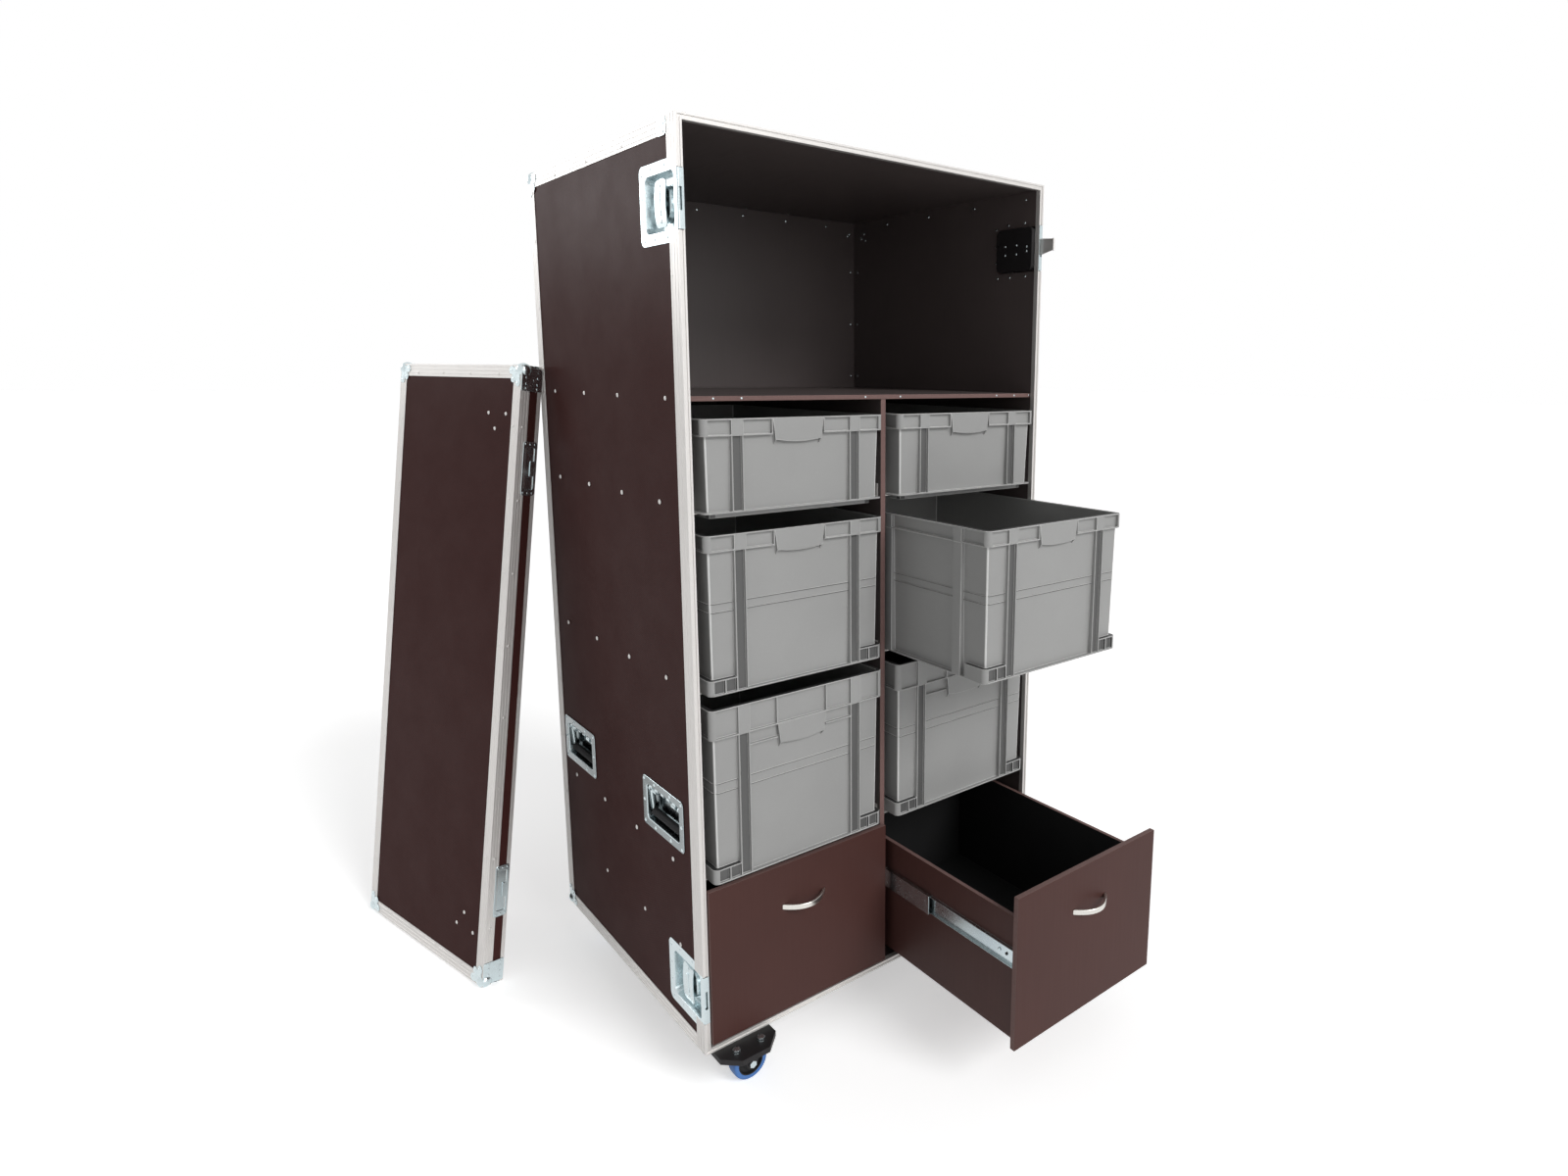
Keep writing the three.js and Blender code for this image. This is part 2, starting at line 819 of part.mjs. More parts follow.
// The hanging grip tab in the middle of the front, with a curved lower edge and two gussets.
function binTab(top) {
  const centre = binWidth / 2;
  const half = binTabWidth / 2;
  const low = top - binTabDrop;
  const shape = new THREE.Shape();
  shape.moveTo(top, centre - half);
  shape.lineTo(low, centre - half + binTabArc);
  shape.quadraticCurveTo(low - binTabArc * 2, centre, low, centre + half - binTabArc);
  shape.lineTo(top, centre + half);
  shape.closePath();
  const plate = extrudeAlong('y', shape, 0, binTabThickness, tabSegments);
  const gussetLow = low - binGussetDrop;
  const wall = binInset + binDraft;
  const gussets = [centre - half + binTabArc, centre + half - binTabArc - binRibWidth].map((x) => {
    const side = outline([[0, low], [wall, gussetLow], [wall, top], [0, top]]);
    return extrudeAlong('x', side, x, x + binRibWidth);
  });
  const back = binInset + overrun;
  const topPlate = block([centre - half, 0, top - binLedge], [centre + half, back, top]);
  return join([plate, topPlate, ...gussets]);
}

// Drawers

function drawerSpan(right) {
  const near = lipThickness + innerFace + fit + drawerSideGap / 2;
  const far = middle - dividerThickness / 2 - fit;
  return right ? [caseWidth - far, caseWidth - near] : [near, far];
}

function drawerBoxSpan(right) {
  const near = innerFace + slideGap;
  const far = dividerLeft - slideGap;
  return right ? [caseWidth - far, caseWidth - near] : [near, far];
}

function drawerFront(right) {
  const [low, high] = drawerSpan(right);
  const back = drawerFrontThickness - drawerFrontProud;
  return block(
    [low, -drawerFrontProud, drawerFloor],
    [high, back, drawerTop],
  );
}

// The inner slide member on one side of a drawer box, flanges away from the box.
function innerMember(face, direction) {
  const inset = slideSheet * 2 + slideBalls * 2;
  const low = railLow + inset;
  const high = railHigh - inset;
  const sheet = face + direction * slideSheet;
  const toe = face + direction * (slideSheet + slideInnerFlange);
  const front = drawerFrontThickness - drawerFrontProud + fit;
  const back = front + drawerBoxDepth - overrun;
  const [webLow, webHigh] = ordered(face - direction * slideSheet, sheet);
  const [flangeLow, flangeHigh] = ordered(face - direction * slideSheet, toe);
  return join([
    block([webLow, front, low], [webHigh, back, high]),
    block([flangeLow, front, low], [flangeHigh, back, low + slideSheet]),
    block([flangeLow, front, high - slideSheet], [flangeHigh, back, high]),
  ]);
}

function drawerBox(right) {
  const [low, high] = drawerBoxSpan(right);
  const front = drawerFrontThickness - drawerFrontProud + fit;
  const back = front + drawerBoxDepth;
  const floor = drawerFloor + drawerBoxRise;
  const top = drawerTop - drawerBoxDrop;
  const shell = block([low, front, floor], [high, back, top]);
  const inside = block(
    [low + plyThickness, front + plyThickness, floor + plyThickness],
    [high - plyThickness, back - plyThickness, top + overrun],
  );
  return join([shell.subtract(inside), innerMember(low, -1), innerMember(high, 1)]);
}

// The middle member of a slide, between the fixed rail and the member on the drawer.
function middleMember(wallFace, direction) {
  const low = railLow + slideSheet + slideBalls;
  const high = railHigh - slideSheet - slideBalls;
  const web = wallFace + direction * slideMiddleWeb;
  const webFar = web + direction * slideSheet;
  const toe = web + direction * slideFlange;
  const front = slideMiddleSetback;
  const back = front + slideMiddleLength;
  const [webLow, webHigh] = ordered(web, webFar);
  const [flangeLow, flangeHigh] = ordered(web, toe);
  return join([
    block([webLow, front, low], [webHigh, back, high]),
    block([flangeLow, front, low], [flangeHigh, back, low + slideSheet]),
    block([flangeLow, front, high - slideSheet], [flangeHigh, back, high]),
  ]);
}

// A bow pull: a flat strip on a shallow arc that stands out from the drawer front.
function bowPull(right) {
  const [low, high] = drawerSpan(right);
  const centre = (low + high) / 2;
  const level = drawerTop - pullDrop;
  const face = -drawerFrontProud - fit;
  const half = pullSpan / 2;
  const rim = (reach, halfSpan, count) => Array.from({ length: count + 1 }, (unused, i) => {
    const along = (2 * i) / count - 1;
    return [face - reach * (1 - along * along), centre + along * halfSpan];
  });
  const outer = rim(pullReach, half, pullSteps);
  const inner = rim(pullReach - pullThickness, half - pullFoot, pullSteps).reverse();
  const shape = new THREE.Shape([...outer, ...inner].map(([y, x]) => new THREE.Vector2(x, y)));
  return extrudeAlong('z', shape, level - pullWidth / 2, level + pullWidth / 2);
}

// Latches

function latchDish(level) {
  const half = latchWell / 2;
  const wellBack = latchLength - latchWellEnd;
  const flangeHalf = latchHeight / 2;
  const corner = latchRound;
  const flange = new THREE.Shape();
  flange.moveTo(frontWeb + fit, level - flangeHalf);
  flange.lineTo(latchLength - corner, level - flangeHalf);
  flange.absarc(latchLength - corner, level - flangeHalf + corner, corner, -Math.PI / 2, 0);
  flange.absarc(latchLength - corner, level + flangeHalf - corner, corner, 0, Math.PI / 2);
  flange.lineTo(frontWeb + fit, level + flangeHalf);
  flange.closePath();
  const flangePlate = extrudeAlong('x', flange, 0, edgeThickness - fit);
  const sheet = latchSheet;
  const shell = join([
    block([0, latchLip, level - half], [latchDepth, wellBack, level + half]),
    block([0, 0, level - half], [latchChannel, latchLip + overrun, level + half]),
    flangePlate,
  ]);
  const slotHalf = latchSlotHeight / 2;
  const tools = [
    block(
      [-overrun, latchLip + sheet, level - half + sheet],
      [latchDepth - sheet, wellBack - sheet, level + half - sheet],
    ),
    block(
      [-overrun, sheet, level - half + sheet],
      [latchChannel - sheet, latchLip + overrun + sheet, level + half - sheet],
    ),
    block(
      [latchSlotInset, -overrun, level - slotHalf],
      [latchChannel - sheet, sheet + overrun, level + slotHalf],
    ),
  ];
  return cut(shell, tools);
}

// The butterfly wing on its hub. It turns about the x axis through the middle of the dish.
function latchWing(level, standsOut) {
  const y = wingFromFront;
  const floor = latchDepth - latchSheet - fit;
  const top = wingRise;
  const hub = bar('x', wingHub, [y, level], top, floor);
  const half = wingLength / 2;
  const blade = roundedOutline(
    [y - wingWidth / 2, level - half],
    [y + wingWidth / 2, level + half],
    wingRound,
  );
  if (standsOut) {
    const out = extrudeAlong(
      'y',
      outline([
        [level - half, top + wingBoss], [level + half, top + wingBoss],
        [level + half - wingWidth / 2, top - wingWidth],
        [level - half + wingWidth / 2, top - wingWidth],
      ]),
      y - wingThickness / 2,
      y + wingThickness / 2,
    );
    return hub.add(out);
  }
  const plate = extrudeAlong('x', blade, top, top + wingThickness);
  const boss = block(
    [top - wingThickness, y - wingThickness, level - half / 2],
    [top + overrun, y + wingThickness, level + half / 2],
  );
  return join([hub, plate, boss]);
}

// Drop handles

function handleDish(place) {
  const halfLength = handleLength / 2;
  const halfHeight = handleHeight / 2;
  const wellHalfLength = handleWellLength / 2;
  const wellHalfHeight = handleWellHeight / 2;
  const flange = roundedOutline(
    [place - halfLength, handleLevel - halfHeight],
    [place + halfLength, handleLevel + halfHeight],
    handleRound,
  );
  const shell = join([
    extrudeAlong('x', flange, 0, edgeThickness - fit),
    block(
      [0, place - wellHalfLength, handleLevel - wellHalfHeight],
      [handleDepth, place + wellHalfLength, handleLevel + wellHalfHeight],
    ),
  ]);
  const openHalfLength = wellHalfLength - handleSheet;
  const openHalfHeight = wellHalfHeight - handleSheet;
  const inside = block(
    [-overrun, place - openHalfLength, handleLevel - openHalfHeight],
    [handleDepth - handleSheet, place + openHalfLength, handleLevel + openHalfHeight],
  );
  return shell.subtract(inside);
}

// The bail hangs from two pins at the top of the dish, and lifts outwards.
function handleBail(place) {
  const wellHalf = handleWellLength / 2 - handleSheet;
  const pivotX = bailPivotInset;
  const pivotZ = handleLevel + bailPivotRise;
  const gripZ = pivotZ - bailDrop;
  const outer = wellHalf - bailArmGap;
  const inner = outer - bailArmThickness;
  const gripHalf = inner + bailArmThickness / 2;
  const parts = [
    bar('y', bailGripRadius, [bailGripInset, gripZ], place - gripHalf, place + gripHalf, gripSegments),
  ];
  for (const side of [-1, 1]) {
    const [from, to] = ordered(place + side * inner, place + side * outer);
    const pinEnd = place + side * (wellHalf - fit);
    const half = bailArmWidth / 2;
    const arm = outline([
      [pivotZ + half, pivotX - half], [pivotZ + half, pivotX + half],
      [gripZ, bailGripInset + half], [gripZ - half, bailGripInset], [gripZ, bailGripInset - half],
    ]);
    parts.push(extrudeAlong('y', arm, from, to));
    const [pinFrom, pinTo] = ordered(place + side * inner, pinEnd);
    parts.push(bar('y', bailPinRadius, [pivotX, pivotZ], pinFrom, pinTo, pinSegments));
  }
  return join(parts);
}

// Casters

function casterFork({ x, y }) {
  const top = -boardThickness - casterPlate - fit - casterBoltHeadHeight / 2;
  const crownLow = top - forkRaceHeight;
  const axleX = x + wheelTrail;
  const axleZ = wheelRadius - rideHeight;
  const half = wheelWidth / 2 + forkClear;
  const parts = [
    bar('z', forkRace, [x, y], crownLow, top + casterBoltHeadHeight / 2),
    block(
      [x - forkRace / 2, y - half - forkLeg, crownLow],
      [axleX + forkRace / 2, y + half + forkLeg, top],
    ),
  ];
  for (const side of [-1, 1]) {
    const [from, to] = ordered(y + side * half, y + side * (half + forkLeg));
    const leg = outline([
      [crownLow + overrun, x - forkLegWidth / 2], [crownLow + overrun, axleX + forkRace / 2],
      [axleZ, axleX + forkFoot], [axleZ - forkFoot, axleX + forkFoot / 2],
      [axleZ - forkFoot, axleX - forkFoot / 2], [axleZ, axleX - forkFoot],
    ]);
    parts.push(extrudeAlong('y', leg, from, to));
    const nutFrom = side < 0 ? from - axleNutHeight : to;
    parts.push(bar('y', axleNut, [axleX, axleZ], nutFrom, nutFrom + axleNutHeight, rivetSegments));
  }
  const reach = half + forkLeg;
  parts.push(bar('y', axleRadius, [axleX, axleZ], y - reach, y + reach, gripSegments));
  return join(parts);
}

function casterWheel({ x, y }) {
  const half = wheelWidth / 2;
  const bore = wheelBore;
  const profile = [
    [bore, -half], [wheelHub, -half], [wheelHub, -half + wheelRimInset],
    [wheelRim, -half + wheelRimInset], [wheelRim, -half], [wheelRadius, -half + wheelCrown],
    [wheelRadius, half - wheelCrown], [wheelRim, half], [wheelRim, half - wheelRimInset],
    [wheelHub, half - wheelRimInset], [wheelHub, half], [bore, half], [bore, -half],
  ].map(([radius, along]) => new THREE.Vector2(radius, along));
  const geometry = new THREE.LatheGeometry(profile, wheelSegments);
  geometry.translate(x + wheelTrail, y, wheelRadius - rideHeight);
  return toSolid(geometry);
}

// Cover, in its own frame: x across, y from the outer face to the open side, z up.

function coverTray() {
  const side = plyThickness;
  const shell = block(
    [edgeThickness, edgeThickness, edgeThickness],
    [coverWidth - edgeThickness, coverDepth - panelFront, coverHeight - edgeThickness],
  );
  const inset = edgeThickness + side;
  const inside = block(
    [inset, innerFace, inset],
    [coverWidth - inset, coverDepth, coverHeight - inset],
  );
  return shell.subtract(inside);
}

function coverEdging() {
  const sheet = edgeThickness - fit;
  const outerRing = join([
    frontBand(0, edgeLeg, 0, sheet, coverWidth, coverHeight),
    frontBand(0, sheet, 0, coverSideLeg, coverWidth, coverHeight),
  ]);
  const lipFar = innerFace + fit + lipThickness;
  const rim = join([
    frontBand(0, lipFar, coverDepth - frontWeb, coverDepth, coverWidth, coverHeight),
    frontBand(0, sheet, coverDepth - coverRimLeg, coverDepth, coverWidth, coverHeight),
    frontBand(innerFace + fit, lipFar, coverDepth - lipDepth, coverDepth, coverWidth, coverHeight),
  ]);
  const parts = [outerRing, rim];
  const inside = block(
    [sheet, sheet, sheet],
    [coverWidth - sheet, coverDepth, coverHeight - sheet],
  );
  for (const x of [0, coverWidth]) {
    const out = x === 0 ? [0, sheet] : [coverWidth - sheet, coverWidth];
    for (const z of [0, coverHeight]) {
      const inZ = z === 0 ? [0, coverBracket] : [coverHeight - coverBracket, coverHeight];
      parts.push(block([out[0], 0, inZ[0]], [out[1], coverDepth, inZ[1]]));
      const ballX = x === 0 ? ballInset : coverWidth - ballInset;
      const ballZ = z === 0 ? ballInset : coverHeight - ballInset;
      parts.push(ballCorner(ballX, ballInset, ballZ).subtract(inside));
    }
    const plate = x === 0
      ? [-coverLatchHeight, sheet]
      : [coverWidth - sheet, coverWidth + coverLatchHeight];
    for (const share of coverLatchShares) {
      const level = share * coverHeight;
      const half = coverLatchLength / 2;
      const back = coverDepth - frontWeb;
      parts.push(block([plate[0], edgeLeg / 2, level - half], [plate[1], back, level + half]));
    }
  }
  return join(parts);
}

// Assembly

const caseGroup = new THREE.Group();

function place(name, solid, material, flip = false) {
  const mesh = meshFrom(name, solid, material, flip);
  caseGroup.add(mesh);
  return mesh;
}

place('left_side_panel', sidePanel(), phenolicPly);
place('right_side_panel', sidePanel(), phenolicPly, true);
place('top_panel', topPanel(), phenolicPly);
place('bottom_panel_with_caster_boards', bottomPanel(), phenolicPly);
place('back_panel', backPanel(), phenolicPly);
place('compartment_shelf', shelfPanel(), phenolicPly);
place('centre_divider', dividerPanel(), phenolicPly);
place('front_closure_frame', frontFrame(), bareAluminium);
place('rear_edging', rearEdging(), bareAluminium);

for (const row of binRows) {
  place(`runner_${row.name}_left`, wallRunner(row), bareAluminium);
  place(`runner_${row.name}_right`, wallRunner(row), bareAluminium, true);
  place(`runner_pair_${row.name}`, dividerRunners(row), bareAluminium);
  for (const side of ['left', 'right']) {
    const pulled = row.name === 'middle' && side === 'right';
    const left = innerFace + binSideGap;
    const x = side === 'left' ? left : caseWidth - left - binWidth;
    const y = -binProud - (pulled ? binPullOut : 0);
    const mesh = place(`bin_${row.name}_${side}`, binSolid(row), greyPlastic);
    mesh.position.set(x, y, row.floor);
  }
}

for (const side of ['left', 'right']) {
  const right = side === 'right';
  const out = right ? -drawerPullOut : 0;
  const pieces = [
    place(`drawer_front_${side}`, drawerFront(right), phenolicPly),
    place(`drawer_box_${side}`, drawerBox(right), phenolicPly),
    place(`drawer_pull_${side}`, bowPull(right), brushedNickel),
  ];
  pieces.forEach((mesh) => mesh.position.set(0, out, 0));
  const walls = right ? [[dividerRight, 1], [rightInner, -1]] : [[innerFace, 1], [dividerLeft, -1]];
  walls.forEach(([face, direction], index) => {
    const name = `slide_member_${side}_${index === 0 ? 'near' : 'far'}`;
    const mesh = place(name, middleMember(face, direction), zincSteel);
    mesh.position.set(0, out / 2, 0);
  });
}

for (const [height, level] of [['upper', latchUpper], ['lower', latchLower]]) {
  for (const side of ['left', 'right']) {
    const flip = side === 'right';
    const standsOut = flip && height === 'upper';
    place(`latch_dish_${height}_${side}`, latchDish(level), zincSteel, flip);
    place(`latch_wing_${height}_${side}`, latchWing(level, standsOut), zincSteel, flip);
  }
}

handlePlaces.forEach((along, index) => {
  for (const side of ['left', 'right']) {
    const end = index === 0 ? 'front' : 'rear';
    place(`handle_dish_${end}_${side}`, handleDish(along), zincSteel, side === 'right');
    place(`handle_bail_${end}_${side}`, handleBail(along), blackRubber, side === 'right');
  }
});

for (const centre of casterCentres()) {
  place(`caster_fork_${centre.name}`, casterFork(centre), blackSteel);
  place(`caster_wheel_${centre.name}`, casterWheel(centre), blueTread);
}

caseGroup.position.z = rideHeight;

// The cover stands on the floor on its open edge and leans on the rear left edge.
const coverGroup = new THREE.Group();
coverGroup.add(meshFrom('cover_tray', coverTray(), phenolicPly));
coverGroup.add(meshFrom('cover_edging', coverEdging(), bareAluminium));
const leanAngle = THREE.MathUtils.degToRad(-coverLean);
const yawAngle = THREE.MathUtils.degToRad(coverYaw);
coverGroup.rotation.set(leanAngle, 0, yawAngle, 'ZXY');
const touch = new THREE.Vector3(coverWidth, coverDepth, coverHeight).applyEuler(coverGroup.rotation);
const foot = new THREE.Vector3(0, coverDepth, 0).applyEuler(coverGroup.rotation);
coverGroup.position.set(-coverGap - touch.x, coverContact - touch.y, -foot.z);

const group = new THREE.Group();
group.add(caseGroup, coverGroup);

// The origin is on the floor, under the middle of the whole set.
group.updateMatrixWorld(true);
const bounds = new THREE.Box3().setFromObject(group, true);
const centre = bounds.getCenter(new THREE.Vector3());
group.position.set(-centre.x, -centre.y, -bounds.min.z);

export default group;
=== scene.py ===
"""A tall wheeled road case: stacking bins on runners, drawers, recessed latches and handles,
and the lift-off cover that leans beside it. Lengths are in metres, in the frame's own axes."""

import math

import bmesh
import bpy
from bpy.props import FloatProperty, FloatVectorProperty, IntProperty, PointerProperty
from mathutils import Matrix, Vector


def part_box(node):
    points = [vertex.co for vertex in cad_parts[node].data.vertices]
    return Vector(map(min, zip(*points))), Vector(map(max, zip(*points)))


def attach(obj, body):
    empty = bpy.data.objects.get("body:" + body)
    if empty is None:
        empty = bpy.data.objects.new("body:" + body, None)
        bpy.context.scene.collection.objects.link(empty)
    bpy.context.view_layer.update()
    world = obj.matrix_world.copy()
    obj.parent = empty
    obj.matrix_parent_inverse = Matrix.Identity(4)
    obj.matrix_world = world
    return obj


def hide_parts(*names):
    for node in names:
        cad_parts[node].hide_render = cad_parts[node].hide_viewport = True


bl_info = {
    "name": "Road case with drawers",
    "version": (1, 0, 0),
    "blender": (4, 5, 0),
    "location": "View3D > Sidebar > Road case",
    "description": "Builds a road case with stacking bins, drawers and a lift-off cover",
    "category": "Add Mesh",
}

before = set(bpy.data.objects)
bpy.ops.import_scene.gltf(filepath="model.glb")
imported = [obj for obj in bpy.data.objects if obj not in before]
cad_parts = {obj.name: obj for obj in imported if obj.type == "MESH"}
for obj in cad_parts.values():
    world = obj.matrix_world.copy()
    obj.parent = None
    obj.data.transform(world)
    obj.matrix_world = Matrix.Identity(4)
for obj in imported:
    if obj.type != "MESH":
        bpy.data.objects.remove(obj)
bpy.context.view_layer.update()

MM = 0.001

# The case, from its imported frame

FRAME_LOW, FRAME_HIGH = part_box("front_closure_frame")
LEFT = FRAME_LOW.x
FRONT = FRAME_LOW.y
UNDER = FRAME_LOW.z
SHEET = 1.5 * MM
WIDTH = FRAME_HIGH.x - LEFT
HEIGHT = FRAME_HIGH.z - UNDER
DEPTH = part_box("back_panel")[1].y + SHEET - FRONT
FRONT_LEG = FRAME_HIGH.y - FRONT
PLY = 9 * MM
INNER = SHEET + PLY
EDGE_LEG = 30 * MM
FIT = 0.3 * MM
SHELF_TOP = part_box("compartment_shelf")[1].z - UNDER

SIDES = ("left", "right")
LEVELS = ("upper", "lower")
ENDS = ("front", "rear")
ROWS = ("top", "middle", "bottom")
# Name, place and way in of the case's two sides, and of its two ends
ACROSS = (("left", 0, 1), ("right", WIDTH, -1))
UPRIGHT = (("bottom", 0, 1), ("top", HEIGHT, -1))

X, Y, Z = Vector((1, 0, 0)), Vector((0, 1, 0)), Vector((0, 0, 1))


def spot(x, y, z):
    """A place in the case: x from its left face, y from its front, z from its underside."""
    return Vector((LEFT + x, FRONT + y, UNDER + z))


def axes(origin, u, v, w):
    """The matrix of a frame with its origin and its three directions."""
    return Matrix((
        (u[0], v[0], w[0], origin[0]),
        (u[1], v[1], w[1], origin[1]),
        (u[2], v[2], w[2], origin[2]),
        (0, 0, 0, 1),
    ))


# Frames of the outer faces: u and v lie in the face, w points into the case.
FACES = {
    "left": axes(spot(0, 0, 0), Y, Z, X),
    "right": axes(spot(WIDTH, 0, 0), Y, Z, -X),
    "top": axes(spot(0, 0, HEIGHT), X, Y, -Z),
    "bottom": axes(spot(0, 0, 0), X, Y, Z),
    "back": axes(spot(0, DEPTH, 0), X, Z, -Y),
    "front": axes(spot(0, 0, 0), X, Z, Y),
}


def paint(red, green, blue):
    """A colour written as 0 to 255 on a screen, as Blender's linear colour."""
    def linear(value):
        share = value / 255
        return share / 12.92 if share <= 0.04045 else ((share + 0.055) / 1.055) ** 2.4
    return (linear(red), linear(green), linear(blue))


# Sizes and colours that a user can change

class CaseSizes(bpy.types.PropertyGroup):
    """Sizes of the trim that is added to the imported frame."""

    rivet_radius: FloatProperty(
        name="Rivet head radius", description="Radius of the small domed rivet heads",
        default=3.8 * MM, unit="LENGTH")
    rivet_rise: FloatProperty(
        name="Rivet head height", description="How far a rivet head stands out",
        default=1.3 * MM, unit="LENGTH")
    rivet_inset: FloatProperty(
        name="Rivet line", description="From the edge of the case to its line of rivets",
        default=22 * MM, unit="LENGTH")
    rivet_pitch: FloatProperty(
        name="Rivet spacing", description="About how far apart the rivets of an edge are",
        default=150 * MM, unit="LENGTH")
    groove_width: FloatProperty(
        name="Groove width", description="Width of the fine grooves along the edging",
        default=1.5 * MM, unit="LENGTH")
    groove_depth: FloatProperty(
        name="Groove depth", description="Depth of the fine grooves along the edging",
        default=0.7 * MM, unit="LENGTH")
    soft_edge: FloatProperty(
        name="Edge rounding", description="Rounding of the sharp edges of boards and sheet",
        default=0.5 * MM, unit="LENGTH")
    bin_edge: FloatProperty(
        name="Bin edge rounding", description="Rounding of the moulded edges of the bins",
        default=0.55 * MM, unit="LENGTH")
    corner_steps: IntProperty(
        name="Corner steps", description="Steps round a quarter of a rounded corner",
        default=6, min=3, max=16)


class CaseColours(bpy.types.PropertyGroup):
    """Colours of the case's finishes."""

    film: FloatVectorProperty(
        name="Hexagon film", description="Phenolic film on the outside of the boards",
        default=paint(74, 43, 41), subtype="COLOR", size=3)
    drawer: FloatVectorProperty(
        name="Drawer film", description="Smooth phenolic film on the drawer fronts",
        default=paint(74, 47, 43), subtype="COLOR", size=3)
    inside: FloatVectorProperty(
        name="Inside film", description="Smooth dark film on the inside of the boards",
        default=paint(88, 79, 78), subtype="COLOR", size=3)
    ply_edge: FloatVectorProperty(
        name="Board edge", description="Cut and sealed edge of the plywood",
        default=paint(118, 92, 88), subtype="COLOR", size=3)
    aluminium: FloatVectorProperty(
        name="Aluminium", description="Bare extruded aluminium",
        default=paint(222, 219, 216), subtype="COLOR", size=3)
    zinc: FloatVectorProperty(
        name="Zinc plate", description="Bluish bright zinc plate on the pressed steel",
        default=paint(206, 218, 221), subtype="COLOR", size=3)
    # The handle zinc is the zinc plate painted darker, as a painted dark reflection in the polished
    # handle dishes.
    handle_zinc: FloatVectorProperty(
        name="Handle zinc", description="Darker polished zinc plate of the recessed handles",
        default=paint(140, 148, 150), subtype="COLOR", size=3)
    lining: FloatVectorProperty(
        name="Drawer lining", description="Black lining of the drawers",
        default=paint(16, 16, 17), subtype="COLOR", size=3)
    nickel: FloatVectorProperty(
        name="Nickel", description="Brushed nickel of the bow pulls",
        default=paint(225, 223, 217), subtype="COLOR", size=3)
    bins: FloatVectorProperty(
        name="Bin grey", description="Moulded grey plastic of the stacking bins",
        default=paint(154, 154, 153), subtype="COLOR", size=3)
    rubber: FloatVectorProperty(
        name="Black rubber", description="Handle grips, wheel cores and slide catches",
        default=paint(27, 27, 28), subtype="COLOR", size=3)
    black_steel: FloatVectorProperty(
        name="Black steel", description="Black coated forks, caster boards and latch backs",
        default=paint(27, 25, 26), subtype="COLOR", size=3)
    tread: FloatVectorProperty(
        name="Tread blue", description="Blue elastic tread of the wheels",
        default=paint(70, 112, 172), subtype="COLOR", size=3)
    floor: FloatVectorProperty(
        name="Floor", description="Pale floor under the case",
        default=paint(248, 248, 248), subtype="COLOR", size=3)


class CaseView(bpy.types.PropertyGroup):
    """Where the camera stands and how it looks."""

    place: FloatVectorProperty(
        name="Camera place", description="Where the camera stands",
        default=(-1.0136, -1.9017, 1.4188), subtype="XYZ", unit="LENGTH", size=3)
    azimuth: FloatProperty(
        name="Azimuth", description="Direction of the view round the case",
        default=math.radians(-41.015), subtype="ANGLE", unit="ROTATION")
    elevation: FloatProperty(
        name="Elevation", description="How far the view looks down",
        default=math.radians(9.775), subtype="ANGLE", unit="ROTATION")
    roll: FloatProperty(
        name="Roll", description="Turn of the picture about the line of sight",
        default=math.radians(0.68), subtype="ANGLE", unit="ROTATION")
    lens: FloatProperty(name="Lens", description="Focal length in millimetres", default=21.43)
    shift_x: FloatProperty(name="Shift across", description="Sideways shift of the picture",
                           default=-0.0938)
    shift_y: FloatProperty(name="Shift up", description="Upward shift of the picture",
                           default=-0.0353)


def sizes():
    """The sizes of the trim that the scene holds."""
    return bpy.context.scene.road_case_sizes


def colours():
    """The colours of the finishes that the scene holds."""
    return bpy.context.scene.road_case_colours


# Shader nodes

class Signal:
    """A node's output. An expression on it adds the Math nodes that work it out."""

    def __init__(self, finish, socket):
        self.finish = finish
        self.socket = socket

    def math(self, operation, *values):
        """A Math node."""
        return self.finish.add("ShaderNodeMath", {"operation": operation}, *values)

    def __add__(self, other):
        return self.math("ADD", self, other)

    def __radd__(self, other):
        return self.math("ADD", other, self)

    def __sub__(self, other):
        return self.math("SUBTRACT", self, other)

    def __rsub__(self, other):
        return self.math("SUBTRACT", other, self)

    def __mul__(self, other):
        return self.math("MULTIPLY", self, other)

    def __rmul__(self, other):
        return self.math("MULTIPLY", other, self)

    def __truediv__(self, other):
        return self.math("DIVIDE", self, other)

    def __rtruediv__(self, other):
        return self.math("DIVIDE", other, self)

    def cosine(self):
        return self.math("COSINE", self)

    def output(self, index):
        """Another output of the same node."""
        return Signal(self.finish, self.socket.node.outputs[index])


class Nodes:
    """A node tree, with one way to add a node and to feed its sockets."""

    def __init__(self, tree):
        self.tree = tree

    def feed(self, socket, value):
        """Leads a signal to a socket, or sets its value."""
        if isinstance(value, Signal):
            self.tree.links.new(value.socket, socket)
        elif hasattr(value, "__len__") and len(value) == 3 and len(socket.default_value) == 4:
            socket.default_value = (*value, 1)
        else:
            socket.default_value = value

    def add(self, kind, settings, *values, output=0, where=None, **named):
        """Adds a node: its settings first, then values or links for its sockets."""
        node = self.tree.nodes.new(kind)
        for key, value in settings.items():
            if key == "stops":
                self.stops(node.color_ramp, value)
            else:
                setattr(node, key, value)
        for index, value in zip(where or range(len(values)), values):
            self.feed(node.inputs[index], value)
        for key, value in named.items():
            self.feed(node.inputs[key.replace("_", " ")], value)
        return Signal(self, node.outputs[output])

    def stops(self, ramp, values):
        """Sets a ramp's grey levels."""
        while len(ramp.elements) < len(values):
            ramp.elements.new(1)
        for element, (place, level) in zip(ramp.elements, values):
            element.position = place
            element.color = (level, level, level, 1)

    def end(self, name, shader):
        """Leads a shader to the tree's output."""
        self.tree.links.new(shader.socket, self.tree.nodes[name].inputs["Surface"])


